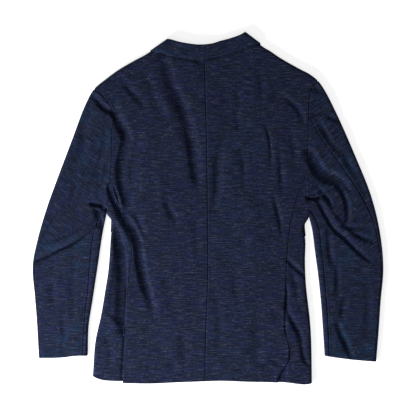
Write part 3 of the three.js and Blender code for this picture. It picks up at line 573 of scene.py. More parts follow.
@dataclass
class Wall:
    """A wall of cloth made from a grid of points on its outer face. It is dressed on the node of its name."""

    node: str
    grid: Array
    weft: Array
    edges: tuple[Edge, Edge, Edge, Edge] = (Edge.SEAM,) * 4  # west, east, south, north
    layer: Layer = Layer.UPPER
    level: tuple[bool, bool] = (False, False)  # whether the south and north rims are cut level
    stitched: tuple[float, float, float, float] = (0.0,) * 4  # a line of stitches in from each side
    stitch: Pair = (0.45, 1.1)  # depth and half width of a line of stitches

    def normals(self) -> Array:
        """Gives the outward normal at each point of the grid."""
        du = np.gradient(self.grid, axis=1)
        dv = np.gradient(self.grid, axis=0)
        n = np.cross(du, dv)
        for row, flat in zip((0, -1), self.level):
            if flat:
                n[row, :, 2] = 0
        n /= np.maximum(np.linalg.norm(n, axis=-1, keepdims=True), 1e-9)
        middle = n.shape[0] // 2
        return n if np.sign(n[middle, 0, 2]) == self.layer.value else -n

    def inset(self) -> list[Array]:
        """Gives each point's distance from the west, east, south and north sides, along the grid."""
        across = np.linalg.norm(np.diff(self.grid, axis=1), axis=-1)
        up = np.linalg.norm(np.diff(self.grid, axis=0), axis=-1)
        west = np.concatenate([np.zeros((len(across), 1)), np.cumsum(across, axis=1)], axis=1)
        south = np.concatenate([np.zeros((1, up.shape[1])), np.cumsum(up, axis=0)], axis=0)
        return [west, west[:, -1:] - west, south, south[-1:] - south]

    def faces(self) -> tuple[Array, Array]:
        """Gives the outer and inner points, with the dips at the edges and under the stitches."""
        n = self.normals()
        inner = self.grid - n * CLOTH
        dip = np.zeros(self.grid.shape[:2])
        deepest, spread = self.stitch
        for edge, away, line in zip(self.edges, self.inset(), self.stitched):
            deep, wide = edge.value
            dip = np.maximum(dip, deep * (1 - np.clip(away / wide, 0, 1)) ** 2)
            if line:
                dip += deepest * np.exp(-((away - line) / spread) ** 2)
        return self.grid - n * dip[..., None], inner

    def build(self, material: Material, cut: Cut, *rests_on: str) -> Object:
        """Makes the closed mesh and its map along the weft.

        Args:
            material: The cloth's material.
            cut: What the sheet was cut to. Not used.
            rests_on: What it lies on. Not used.

        Returns:
            The dressed piece.
        """
        outer, inner = self.faces()
        rows, columns = outer.shape[:2]
        count = rows * columns
        index = np.arange(count).reshape(rows, columns)
        a, b, c, d = index[:-1, :-1], index[:-1, 1:], index[1:, 1:], index[1:, :-1]
        top = np.stack([a, b, c, d], -1).reshape(-1, 4)
        under = np.stack([a, d, c, b], -1).reshape(-1, 4) + count
        loop = np.concatenate([index[0, :-1], index[:-1, -1], index[-1, :0:-1], index[:0:-1, 0]])
        after = np.roll(loop, -1)
        rim = np.stack([loop, loop + count, after + count, after], -1)
        quads = np.vstack([top, under, rim])
        n = self.normals()
        flipped = np.sum(np.cross(outer[0, 1] - outer[0, 0], outer[1, 0] - outer[0, 0]) * n[0, 0]) < 0
        if flipped:
            quads = quads[:, ::-1]
        points = np.vstack([outer.reshape(-1, 3), inner.reshape(-1, 3)])
        piece = new_object(f"cloth_{self.node}", points, quads.tolist(), material)
        mesh = piece.data
        where = np.vstack([self.weft.reshape(-1, 2)] * 2) * MM
        uv = mesh.uv_layers.new(name="weft")
        corners = np.zeros(len(mesh.loops), int)
        mesh.loops.foreach_get("vertex_index", corners)
        uv.data.foreach_set("uv", where[corners].reshape(-1))
        mesh.set_sharp_from_angle(angle=math.radians(50))
        mesh.update()
        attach(piece, "root")
        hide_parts(self.node)
        return piece


class Group:
    """A shader node group under construction, with short ways to add and join its nodes."""

    def __init__(self, name: str, inputs: dict[str, str], outputs: dict[str, str]) -> None:
        """Opens a group, with the types of its sockets by name."""
        self.tree = bpy.data.node_groups.new(name, "ShaderNodeTree")
        for in_out, sockets in (("INPUT", inputs), ("OUTPUT", outputs)):
            for key, kind in sockets.items():
                self.tree.interface.new_socket(name=key, in_out=in_out, socket_type=kind)
        self.source = self.tree.nodes.new("NodeGroupInput").outputs
        self.sink = self.tree.nodes.new("NodeGroupOutput").inputs

    def node(self, kind: str, inputs: dict[str | int, object], **settings: object) -> Node:
        """Adds a node, sets its fields and fills its inputs with values or links."""
        return add_node(self.tree, kind, inputs, **settings)

    def math(self, operation: str, *values: object) -> NodeSocket:
        """Adds a math node and gives its result."""
        return self.node("ShaderNodeMath", dict(enumerate(values)), operation=operation).outputs[0]

    def ramp(self, value: object, low: float, high: float) -> NodeSocket:
        """Eases a value from 0 at low to 1 at high."""
        inputs = {"Value": value, "From Min": low, "From Max": high}
        return self.node("ShaderNodeMapRange", inputs, interpolation_type="SMOOTHSTEP").outputs[0]

    def mix(self, factor: object, a: object, b: object) -> NodeSocket:
        """Mixes two colours."""
        return self.node("ShaderNodeMix", {0: factor, 6: a, 7: b}, data_type="RGBA").outputs[2]

    def moved(self, operation: str, vector: object, by: Triple) -> NodeSocket:
        """Adds a vector math node and gives its result."""
        return self.node("ShaderNodeVectorMath", {0: vector, 1: by}, operation=operation).outputs[0]


def fill(tree: NodeTree, socket: NodeSocket, value: object) -> None:
    """Links a socket to another, or sets its value."""
    if isinstance(value, NodeSocket):
        tree.links.new(value, socket)
    else:
        socket.default_value = value


def add_node(tree: NodeTree, kind: str, inputs: dict[str | int, object],
             **settings: object) -> Node:
    """Adds a node to a tree.

    Args:
        tree: The node tree.
        kind: The node's type.
        inputs: Values or links by socket.
        settings: The node's own fields.

    Returns:
        The new node.
    """
    node = tree.nodes.new(kind)
    for key, value in settings.items():
        setattr(node, key, value)
    for key, value in inputs.items():
        fill(tree, node.inputs[key], value)
    return node


def new_material(name: str, inputs: dict[str, object]) -> Material:
    """Makes a material whose Principled shader has the given inputs."""
    material = bpy.data.materials.new(name)
    material.use_nodes = True
    dress(material, inputs)
    return material


def dress(material: Material, inputs: dict[str, object]) -> None:
    """Fills inputs of a material's Principled shader with values or links."""
    tree = material.node_tree
    for key, value in inputs.items():
        fill(tree, tree.nodes["Principled BSDF"].inputs[key], value)


def slub_weave() -> NodeTree:
    """Builds the slub weave: long uneven weft yarns over a dark ground, with nubs.

    Returns:
        The node group, which gives the cloth's colour and its height.
    """
    colour = "NodeSocketColor"
    value = "NodeSocketFloat"
    inputs = {"Vector": "NodeSocketVector"}
    inputs |= dict.fromkeys(("Ground", "Indigo", "Teal", "Slub", "Shade", "Nub"), colour)
    inputs |= dict.fromkeys(("Slubs", "Depth", "Patchiness", "Teals"), value)
    g = Group("slub_weave", inputs, {"Color": colour, "Height": value})

    def streaks(along: float, across: float, seed: float, detail: float = 1.0) -> NodeSocket:
        """Gives noise drawn out along the weft, by its repeats to a metre."""
        scaled = g.moved("MULTIPLY", g.source["Vector"], (along, across, 1))
        moved = g.moved("ADD", scaled, (seed, seed * 1.7, seed))
        inputs = {"Vector": moved, "Scale": 1.0, "Detail": detail, "Roughness": 0.6}
        return g.node("ShaderNodeTexNoise", inputs).outputs["Fac"]

    drift = g.ramp(streaks(7, 9, 3.1, 2.0), 0.36, 0.66)
    patch = g.ramp(streaks(34, 90, 5.7, 1.0), 0.40, 0.62)
    ground = g.mix(g.math("MULTIPLY", patch, g.source["Patchiness"]), g.source["Ground"], g.source["Indigo"])
    teals = g.math("MULTIPLY", g.math("MULTIPLY", drift, patch), g.source["Teals"])
    ground = g.mix(teals, ground, g.source["Teal"])
    long_yarn = streaks(38, 430, 11.0)
    short_yarn = streaks(150, 440, 23.0)
    fine_yarn = streaks(450, 620, 37.0)
    tone = g.math("ADD", g.math("MULTIPLY", long_yarn, 0.44), g.math("MULTIPLY", short_yarn, 0.30))
    tone = g.math("ADD", tone, g.math("MULTIPLY", fine_yarn, 0.26))
    pale = g.math("MULTIPLY", g.ramp(tone, 0.50, 0.66), g.source["Slubs"])
    dark = g.math("MULTIPLY", g.ramp(tone, 0.50, 0.36), g.source["Depth"])
    base = g.mix(pale, ground, g.source["Slub"])
    shaded = g.mix(dark, base, g.source["Shade"])
    spots = g.math("GREATER_THAN", streaks(300, 430, 71.0, 0.0), 0.82)
    nubs = g.math("MULTIPLY", spots, g.ramp(streaks(16, 20, 83.0), 0.52, 0.62))
    cloth = g.mix(g.math("MULTIPLY", nubs, 0.75), shaded, g.source["Nub"])
    height = g.math("ADD", tone, g.math("MULTIPLY", nubs, 0.5))
    fill(g.tree, g.sink["Color"], cloth)
    fill(g.tree, g.sink["Height"], height)
    return g.tree


@dataclass(frozen=True)
class SlubCloth:
    """The coat's cloth: a matt navy with grey slubs."""

    name: str
    ground: Triple = (0.0100, 0.0148, 0.036)
    indigo: Triple = (0.0115, 0.0132, 0.060)
    teal: Triple = (0.0075, 0.0270, 0.062)
    slub: Triple = (0.052, 0.060, 0.104)
    shade: Triple = (0.0030, 0.0050, 0.0130)
    nub: Triple = (0.24, 0.25, 0.28)
    slubs: float = 0.92
    depth: float = 0.95
    patchiness: float = 0.6
    teals: float = 0.35
    sheen: float = 0.05

    def material(self, weave: NodeTree) -> Material:
        """Makes the material from the weave group."""
        material = new_material(self.name, {
            "Roughness": 0.92, "Specular IOR Level": 0.12, "Sheen Weight": self.sheen,
            "Sheen Roughness": 0.45, "Sheen Tint": (0.55, 0.65, 1.0, 1),
        })
        tree = material.node_tree
        colours = ("ground", "indigo", "teal", "slub", "shade", "nub")
        inputs = {"Vector": add_node(tree, "ShaderNodeUVMap", {}, uv_map="weft").outputs["UV"]}
        inputs |= {key.capitalize(): (*getattr(self, key), 1) for key in colours}
        inputs |= {key.capitalize(): getattr(self, key) for key in ("slubs", "depth", "patchiness", "teals")}
        cloth = add_node(tree, "ShaderNodeGroup", inputs, node_tree=weave)
        relief = {"Height": cloth.outputs["Height"], "Strength": 0.5, "Distance": 0.0006}
        bump = add_node(tree, "ShaderNodeBump", relief)
        dress(material, {"Base Color": cloth.outputs["Color"], "Normal": bump.outputs["Normal"]})
        return material


@dataclass(frozen=True)
class Horn:
    """The dark polished horn of the buttons."""

    name: str = "horn"
    colour: Triple = (0.018, 0.014, 0.012)
    streak: Triple = (0.06, 0.045, 0.032)

    def material(self) -> Material:
        """Makes the material, with a slow streak through the horn."""
        material = new_material(self.name, {"Roughness": 0.35})
        tree = material.node_tree
        place = add_node(tree, "ShaderNodeTexCoord", {}).outputs["Object"]
        cloud = {"Vector": place, "Scale": 160.0, "Detail": 3.0, "Distortion": 1.5}
        noise = add_node(tree, "ShaderNodeTexNoise", cloud)
        colours = {0: noise.outputs["Fac"], 6: (*self.colour, 1), 7: (*self.streak, 1)}
        mix = add_node(tree, "ShaderNodeMix", colours, data_type="RGBA")
        dress(material, {"Base Color": mix.outputs[2]})
        return material


@dataclass
class Body:
    """The back, side and front panels."""

    relief: Relief
    cloth: Material
    panel: Pair = (235.0, 760.0)  # width and length of a back or a front
    side_widths: Pair = (70.0, 80.0)  # width of a side panel's upper and lower layer
    lapel_size: Pair = (80.0, 330.0)
    lapel_turn: float = 18.0  # how far the weft of a lapel is turned, in degrees
    vent: float = 218.0  # the vents' height above the hem
    vent_ease: float = 0.014  # share of the side seam over which the vent starts
    underlap: float = 26.0  # how far a side panel goes under the back
    drop: float = 2.6  # how far the underlap lies below the back's face
    blunt: float = 0.4  # how much of a side panel's upper point is cut off
    neck_share: float = 0.6  # the shoulder's share of a back panel's upper side
    hem_ease: float = 0.03  # share of a back's length over which its side comes to the hem's height
    curl_out: float = 11.0  # how far the right vent's free edge bows out
    curl_back: float = 17.0  # how far that vent's corner lies back
    curl_rise: Triple = (2.6, 2.5, 4.5)  # height, place and half width of the vent's roll
    curl_line: Points = field(default_factory=lambda: [
        (175, -236), (182, -297), (184, -324), (178, -340), (164, -358), (158, -374), (155, -392),
    ])
    curl_crease: Fold = Fold(3.0, 5, 6, [(140, -341), (150, -348), (160, -354), (168, -356)])
    curl_run: tuple[float, float, float, float] = (-392.0, -327.0, -322.0, -262.0)  # where it bows out and in
    corner_run: Pair = (-388.0, -338.0)  # heights between which the corner lies back
    roll_start: float = 0.35  # share of the roll's length over which it rises
    lap_edge: float = 0.018  # place across a side panel of the underlap's first row
    lap_rise: Pair = (0.02, 0.14)  # places across between which the panel rises from the drop
    opening: float = -20.0  # height of the lapels' lower end
    opening_length: float = 320.0
    lapel_spread: Pair = (50.0, 125.0)  # half width over the lapels there, and its gain
    lapel_ease: float = 40.0  # how far a front takes to come down beside a lapel
    overlap_beside: Pair = (42.0, 95.0)  # where the right front comes down outwards
    overlap_above: Pair = (20.0, 70.0)  # where it comes down upwards
    button_zone: Pair = (48.0, 90.0)  # where the left front comes down round a button
    lapel_lift: float = CLOTH + LAYER_GAP
    button_lift: float = 2.8
    overlap_lift: float = 5.1
    back_cut: Cut = Cut(0.27, 0.79, 0.150)
    side_cut: Cut = Cut(0.15, 0.50, 0.055)
    front_cut: Cut = Cut(0.29, 0.79, 0.136)
    lapel_cut: Cut = Cut(0.10, 0.35, 0.018, Held.FOLDED)

    def seam_side(self, side: Side, name: str, apex: float, step: float) -> tuple[Array, Array]:
        """Follows a seam up to the armhole, and the armhole up to the shoulder.

        Args:
            side: The side of the coat.
            name: The seam's name.
            apex: The place along the armhole at which the seam ends.
            step: Spacing of the points.

        Returns:
            The places up the panel, and the points there.
        """
        seam, arm = side.lines[name], side.lines["armhole"]
        half = -SEAM_LAP / 2 * side.hand
        joint = seam.length / (seam.length + apex * arm.length)
        v = np.unique(np.concatenate([stops(self.panel[1], step=step), [joint]]))
        below = seam.aside(1 - v / joint, half, True)
        above = arm.aside(apex * (1 - (v - joint) / (1 - joint)), half, True)
        return v, joined(below, above, v, joint)

    def back(self, side: Side) -> Object:
        """Makes a back panel."""
        v, west = self.seam_side(side, "side_seam", side.apex_at, STEP)
        u = stops(self.panel[0])
        corner = self.neck_share
        neck = side.lines["neck"].at((u - corner) / (1 - corner))
        north = joined(side.shoulder_at(u / corner), neck, u, corner)
        south = side.lines["back_hem"].at(u)
        west += (south[0] - west[0]) * (1 - smooth(v, 0, self.hem_ease))[:, None]
        if side.hand > 0:
            west += self.curl(west)
        p = patch(west, CENTRE_BACK.aside(v, SEAM_LAP / 2 * side.hand), south, north, u, v)
        z = self.relief.upper(p, BODY_RISE, True)
        if side.hand > 0:
            z += self.lifted(p)
        wall = Wall(f"back_{side.word}", raised(p, z), weft_of(p),
                    (Edge.SEAM, Edge.SEAM, Edge.TURNED, Edge.FOLDED), level=(False, True))
        return wall.build(self.cloth, self.back_cut, f"front_{side.word}")

    def curl(self, west: Array) -> Array:
        """Gives how far the right vent's free edge wanders from its seam line."""
        y = west[:, 1]
        low, full, still, high = self.curl_run
        out = self.curl_out * smooth(y, low, full) * (1 - smooth(y, still, high))
        back = -self.curl_back * (1 - smooth(y, *self.corner_run))
        return np.stack([out + back, np.zeros_like(y)], -1)

    def lifted(self, p: Array) -> Array:
        """Gives how far the right vent's corner curls up, as a soft roll along its free edge."""
        flat = p.reshape(-1, 2)
        high, inset, spread = self.curl_rise
        away, along, _ = distance_to(flat, Line(self.curl_line).trail)
        rise = high * np.exp(-((away - inset) / spread) ** 2) * smooth(along, 0.0, self.roll_start)
        return (rise - self.curl_crease.press(flat)).reshape(p.shape[:-1])

    def side(self, side: Side) -> Object:
        """Makes a side panel, from the back seam over the folded edge to the front seam."""
        arm, edge = side.lines["armhole"], side.lines["body_edge"]
        half = -SEAM_LAP / 2 * side.hand
        blunt, ease = self.blunt, self.vent_ease
        length = side.lines["side_seam"].length
        vent = self.vent / length
        v = np.unique(np.concatenate([stops(length), vent + np.linspace(-ease, ease, 9)]))
        q = np.concatenate([[0.0, self.lap_edge], stops(self.side_widths[0])[2:]])

        def half_panel(seam_name: str, hem: str, start: float, u: Array) -> Array:
            """Fills in one layer of the panel, from its seam to the folded edge."""
            seam = side.lines[seam_name]
            west = seam.aside(1 - v * (1 - blunt / seam.length), -half, True)
            north = arm.aside(start + blunt / arm.length + (1 - start - blunt / arm.length) * u, -half)
            return patch(west, edge.at(1 - v), side.lines[hem].at(u), north, u, v)

        top = half_panel("side_seam", "side_hem", side.apex_at, q)
        z = self.relief.upper(top, BODY_RISE)
        beside = 1 - smooth(q, *self.lap_rise)[None]
        z -= self.drop * beside * (1 - smooth(v, vent, vent + ease))[:, None]
        top[:, 0, 0] -= side.hand * self.underlap * (1 - smooth(v, vent - ease, vent))
        r = stops(self.side_widths[1], step=LOWER_STEP)
        under = half_panel("front_seam", "front_side_hem", FRONT_APEX, r)
        low = self.relief.lower(under, 0.0)
        p = np.concatenate([top, under[:, -2::-1]], axis=1)
        grid = raised(p, np.concatenate([z, low[:, -2::-1]], axis=1))
        wall = Wall(f"side_{side.word}", grid, weft_of(p), (Edge.SEAM, Edge.SEAM, Edge.TURNED, Edge.SEAM))
        return wall.build(self.cloth, self.side_cut, f"front_{side.word}")

    def lift(self, side: Side, p: Array) -> Array:
        """Gives the height of a front over the lapel, the buttons and the other front."""
        x, y = p[..., 0], p[..., 1]
        start, gain = self.lapel_spread
        zone = start + gain * (y - self.opening) / self.opening_length
        lapel = self.lapel_lift * smooth(y, self.opening - self.lapel_ease, self.opening)
        lapel *= 1 - smooth(np.abs(x) - zone, 0, self.lapel_ease)
        if side.hand > 0:
            outwards, upwards = smooth(x, *self.overlap_beside), smooth(y, *self.overlap_above)
            return np.maximum(lapel, self.overlap_lift * (1 - outwards) * (1 - upwards))
        away = np.min([np.hypot(x, y - at) for at in BUTTONS_AT], axis=0)
        return np.maximum(lapel, self.button_lift * (1 - smooth(away, *self.button_zone)))

    def front(self, side: Side) -> Object:
        """Makes a front, whose outer face lies on the surface."""
        v, west = self.seam_side(side, "front_seam", FRONT_APEX, HIDDEN_STEP)
        u = stops(self.panel[0], step=HIDDEN_STEP)
        east, south = side.lines["front_edge"].at(v), side.lines["front_hem"].at(u)
        p = patch(west, east, south, side.shoulder_at(u), u, v)
        z = self.relief.lower(p, self.lift(side, p), True)
        wall = Wall(f"front_{side.word}", raised(p, z), weft_of(p),
                    (Edge.SEAM, Edge.TURNED, Edge.TURNED, Edge.FOLDED), Layer.LOWER, (False, True))
        return wall.build(self.cloth, self.front_cut, f"lapel_{side.word}")

    def lapel(self, side: Side) -> Object:
        """Makes a lapel, turned back flat under its front."""
        u, v = (stops(size, step=HIDDEN_STEP) for size in self.lapel_size)
        outer, roll = side.lines["lapel_edge"], side.lines["lapel_roll"]
        ends = [outer.at(t) * (1 - u[:, None]) + roll.at(t) * u[:, None] for t in (0.0, 1.0)]
        p = patch(outer.at(v), roll.at(v), ends[0], ends[1], u, v)
        weft = weft_of(p, self.lapel_turn * side.hand)
        flat = raised(p, np.zeros(p.shape[:2]))
        wall = Wall(f"lapel_{side.word}", flat, weft, (Edge.TURNED,) * 4, Layer.LOWER)
        return wall.build(self.cloth, self.lapel_cut, "ground")

    def build(self) -> list[Object]:
        """Makes the panels of both sides."""
        return [make(side) for side in SIDES for make in (self.back, self.side, self.front, self.lapel)]


@dataclass
class Sleeves:
    """The two-piece sleeves."""

    relief: Relief
    cloth: Material
    width: float = 130.0  # greatest width of a sleeve, laid flat
    inner_width: float = 18.0  # greatest width of the top piece beyond the front seam
    inner_step: float = 5.0  # spacing of the mesh there
    usual_width: float = 110.0  # usual width of the under piece
    under_spread: float = 190.0  # length that sets the under piece's columns
    rows: float = 612.0  # length of the outer edge
    knots: int = 61  # rows at which the seams' places are worked out
    samples: int = 240  # places tried in each of those rows
    seam_reach: Pair = (0.004, 0.999)  # first and last place across that a seam may take
    cap_ease: float = 0.2  # share of a sleeve over which its face comes down from the body's
    stitch_inset: float = 5.5  # how far the stitched line lies from the front seam
    edge_share: float = 0.6  # most of a narrow width that the finer mesh by a folded edge takes
    top_cut: Cut = Cut(0.34, 0.66, 0.098)
    under_cut: Cut = Cut(0.19, 0.60, 0.054)

    def place(self, side: Side, s: Array, t: Array) -> Array:
        """Gives points on a sleeve.

        Args:
            side: The side of the coat.
            s: Places from the armhole to the cuff, one for each row.
            t: Places from the outer to the inner edge, a grid with a row for each s.
        """
        half = -SEAM_LAP / 2 * side.hand
        arm = side.lines["armhole"].aside(t, half)
        cuff = side.lines["cuff"].at(t)
        s3, t3 = s[:, None, None], t[..., None]

        def bulge(points: Array) -> Array:
            """Gives how far an edge leaves the straight line between its ends."""
            return points - (points[:1] * (1 - s[:, None]) + points[-1:] * s[:, None])

        outer = bulge(side.outer_at(s))[:, None]
        inner = bulge(side.lines["inner"].at(s ** FAN))[:, None]
        return arm * (1 - s3) + cuff * s3 + outer * (1 - t3) + inner * t3

    def seams(self, side: Side, s: Array) -> tuple[Array, Array]:
        """Gives where the back and front seams cross each row, from 0 at the outer edge to 1."""
        knots = np.linspace(0, 1, self.knots)
        t = np.linspace(*self.seam_reach, self.samples)
        grid = self.place(side, knots, np.broadcast_to(t, (len(knots), len(t))))
        found = []
        for name in ("back_sleeve_seam", "front_sleeve_seam"):
            away = distance_to(grid.reshape(-1, 2), side.lines[name].trail[::4])[0].reshape(grid.shape[:2])
            places = t[np.argmin(away, axis=1)]
            kernel = np.array([1, 2, 1]) / 4
            eased = np.convolve(np.pad(places, 1, mode="edge"), kernel, mode="valid")
            found.append(np.interp(s, knots, eased))
        return found[0], found[1]

    def weft(self, side: Side, p: Array) -> Array:
        """Gives the weft's places: across the upper arm above the elbow's fold, and level below it."""
        level = weft_of(p)
        turned = weft_of(p, side.weft_turn)
        _, _, left = distance_to(p.reshape(-1, 2), side.lines["elbow"].trail[::3])
        above = (left * side.hand > 0).reshape(p.shape[:-1])
        return np.where(above[..., None], turned, level)

    def rise(self, s: Array) -> Array:
        """Gives the upper face's height, which runs into the body's at the armhole."""
        return (BODY_RISE + (SLEEVE_RISE - BODY_RISE) * smooth(s, 0, self.cap_ease))[:, None]

    def top_piece(self, side: Side) -> Object:
        """Makes the top piece: from the back seam round the outer edge, beneath and up to the front seam."""
        s = stops(self.rows)
        back, front = self.seams(side, s)
        across = np.broadcast_to(np.linspace(0, 1, 9), (len(s), 9))
        wide = np.linalg.norm(np.diff(self.place(side, s, across), axis=1), axis=-1).sum(1)
        fine = np.array(EDGE_STEPS)

        def run(width: Array, most: float, step: float, both: bool) -> Array:
            """Gives places in mm across a changing width, closer together from a folded edge."""
            reach = np.minimum(fine[-1], self.edge_share * width)[:, None]
            places = np.linspace(0, 1, max(3, round(most / step)))[None, 1:]
            head = fine[None, :] / fine[-1] * reach
            parts = [head, reach + (width[:, None] - reach * (2 if both else 1)) * places]
            if both:
                parts.append(width[:, None] - head[:, -2::-1])
            return np.concatenate(parts, axis=1)

        cap = run(back * wide, self.width, STEP, False) / wide[:, None]
        under = run(wide, self.width, LOWER_STEP, True) / wide[:, None]
        inner = 1 - run((1 - front) * wide, self.inner_width, self.inner_step, False) / wide[:, None]
        t = np.concatenate([cap[:, ::-1], under[:, 1:], inner[:, 1:]], axis=1)
        p = self.place(side, s, t)
        columns = np.arange(t.shape[1])
        beneath = (columns >= cap.shape[1]) & (columns < cap.shape[1] + under.shape[1] - 1)
        z = np.where(beneath[None], self.relief.lower(p, 0.0), self.relief.upper(p, self.rise(s)))
        wall = Wall(f"topsleeve_{side.word}", raised(p, z), self.weft(side, p),
                    (Edge.SEAM, Edge.SEAM, Edge.SEAM, Edge.TURNED))
        return wall.build(self.cloth, self.top_cut, "ground")

    def under_piece(self, side: Side) -> Object:
        """Makes the under piece, on the upper face between the two seams."""
        s = stops(self.rows)
        back, front = self.seams(side, s)
        u = stops(self.under_spread)
        gap = -SEAM_LAP / 2 / self.usual_width
        t = (back + gap)[:, None] + (front - back - 2 * gap)[:, None] * u[None]
        p = self.place(side, s, t)
        grid = raised(p, self.relief.upper(p, self.rise(s)))
        wall = Wall(f"undersleeve_{side.word}", grid, self.weft(side, p),
                    (Edge.SEAM, Edge.SEAM, Edge.SEAM, Edge.TURNED),
                    stitched=(0.0, self.stitch_inset, 0.0, 0.0))
        return wall.build(self.cloth, self.under_cut, f"topsleeve_{side.word}")

    def build(self) -> list[Object]:
        """Makes both sleeves."""
        return [make(side) for side in SIDES for make in (self.top_piece, self.under_piece)]


@dataclass
class Collar:
    """The collar's fall and stand."""

    cloth: Material
    fall_rise: float = BODY_RISE + CLOTH + 2 * LAYER_GAP
    corner_height: float = 8.0
    corner_radius: float = 8.5
    roll_height: float = 13.0
    roll_radius: float = 4.0
    tilt: float = 2.4  # how much higher the fall lies at its roll than at its edge
    stand_inset: Pair = (9.0, 7.0)
    roll_inset: float = 9.0
    fall_size: Pair = (265.0, 32.0)  # length along the shoulders and height of the fall
    leaf_length: float = 40.0
    fall_step: float = 2.2  # spacing of the fall's mesh from its edge to its roll
    weave_shift: float = 400.0  # keeps the fall's weave from repeating the back's
    stand_size: Pair = (200.0, 20.0)
    stand_steps: Pair = (6.0, 4.0)  # spacing of the stand's mesh along and up
    fall_cut: Cut = Cut(0.40, 0.06, 0.0125, Held.FOLDED)
    stand_cut: Cut = Cut(0.24, 0.025, 0.0039, Held.FOLDED)
    edge: Line = field(default_factory=lambda: Line([
        (-130, 353.4), (-112, 349), (-99, 346.5), (-85, 342), (-58, 337), (-34, 332), (-18, 333.5),
        (-9, 335), (31, 342), (58, 351), (72, 355.5), (95, 365), (118, 370.5),
    ]))
    roll: Line = field(default_factory=lambda: Line([
        (-92, 380), (-85, 379), (-63, 373), (-40, 369), (-18, 367), (9, 369.5), (27, 375), (49.5, 381),
        (72, 389), (84, 396),
    ]))
    leaf_ends: tuple[Points, Points] = ([(-123, 318), (-77, 336)], [(122, 330), (71, 349)])

    def fall(self) -> Object:
        """Makes the fall: over the back of the neck, round both corners and into short leaves beneath."""
        long, tall = self.fall_size
        u, v = stops(long), stops(tall, step=self.fall_step)
        ends = [np.stack([self.edge.at(t), self.roll.at(t)]) for t in (0.0, 1.0)]
        corners = [Line([tuple(end[0]), tuple(end[1])]).at(v) for end in ends]
        top = patch(corners[0], corners[1], self.edge.at(u), self.roll.at(u), u, v)
        w = stops(self.leaf_length)
        leaves = []
        for corner, end, tips in zip(corners, ends, self.leaf_ends):
            tip, inner = np.array(tips)
            far = tip * (1 - v[:, None]) + inner * v[:, None]
            south = end[0] * (1 - w[:, None]) + tip * w[:, None]
            north = end[1] * (1 - w[:, None]) + inner * w[:, None]
            leaves.append(patch(corner, far, south, north, w, v))

        def near(p: Array, trail: Array, radius: float) -> Array:
            """Gives how far points have risen from an edge line, from 0 to 1."""
            away = distance_to(p.reshape(-1, 2), trail)[0].reshape(p.shape[:-1])
            return np.sqrt(1 - (1 - np.clip(away / radius, 0, 1)) ** 2)

        turned = np.minimum(*(near(top, end, self.corner_radius) for end in ends))
        rolled = near(top, self.roll.trail, self.roll_radius)
        high = self.fall_rise + self.tilt * v[:, None]
        face = self.roll_height + (high - self.roll_height) * rolled - self.dimples(top)
        z = self.corner_height + (face - self.corner_height) * turned
        low = [
            self.corner_height * (1 - near(leaf, end, self.corner_radius)) for leaf, end in zip(leaves, ends)
        ]
        p = np.concatenate([leaves[0][:, :0:-1], top, leaves[1][:, 1:]], axis=1)
        grid = raised(p, np.concatenate([low[0][:, :0:-1], z, low[1][:, 1:]], axis=1))
        walked = np.linalg.norm(np.diff(grid[len(v) // 2], axis=0), axis=1)
        along = np.concatenate([[0], np.cumsum(walked)])
        weft = np.stack(np.broadcast_arrays(along[None, :], v[:, None] * tall + self.weave_shift), -1)
        wall = Wall("collar_fall", grid, weft, (Edge.TURNED, Edge.TURNED, Edge.TURNED, Edge.FOLDED),
                    Layer.LOWER, (False, True))
        return wall.build(self.cloth, self.fall_cut, "back_left", "back_right")

    @staticmethod
    def dimples(p: Array) -> Array:
        """Gives the collar's soft dents."""
        flat = p.reshape(-1, 2)
        folds = (
            Fold(1.6, 7, 8, [(-4, 352), (9, 362), (24, 373)]),
            Fold(0.9, 8, 8, [(-60, 346), (-52, 358), (-50, 366)]),
            Fold(0.8, 9, 8, [(52, 356), (62, 368), (66, 380)]),
            Fold(0.7, 8, 8, [(-104, 352), (-98, 362)]),
        )
        return sum(fold.press(flat) for fold in folds).reshape(p.shape[:-1])

    def stand(self) -> Object:
        """Makes the stand, between the neckline and the roll of the fall."""
        left, right = (side.lines["neck"] for side in SIDES)
        middle = left.length / (left.length + right.length)
        u, v = (stops(size, step=step) for size, step in zip(self.stand_size, self.stand_steps))
        start, end = (inset / line.length for inset, line in zip(self.stand_inset, (left, right)))
        first = left.aside(start + (1 - start) * u / middle, 2 * LAYER_GAP)
        second = right.aside(1 + (end - 1) * (u - middle) / (1 - middle), 2 * LAYER_GAP, True)
        bottom = joined(first, second, u, middle)
        share = self.roll_inset / self.roll.length
        top = self.roll.aside(share + (1 - 2 * share) * u, -3 * LAYER_GAP)
        v3 = v[:, None, None]
        p = bottom[None] * (1 - v3) + top[None] * v3
        rise = (self.roll_height - LAYER_GAP - BODY_RISE) * np.broadcast_to(v[:, None], p.shape[:2])
        wall = Wall("collar_stand", raised(p, BODY_RISE + rise), weft_of(p), (Edge.FOLDED,) * 4)
        return wall.build(self.cloth, self.stand_cut, "back_left", "back_right")

    def build(self) -> list[Object]:
        """Makes the collar's two pieces."""
        return [self.fall(), self.stand()]


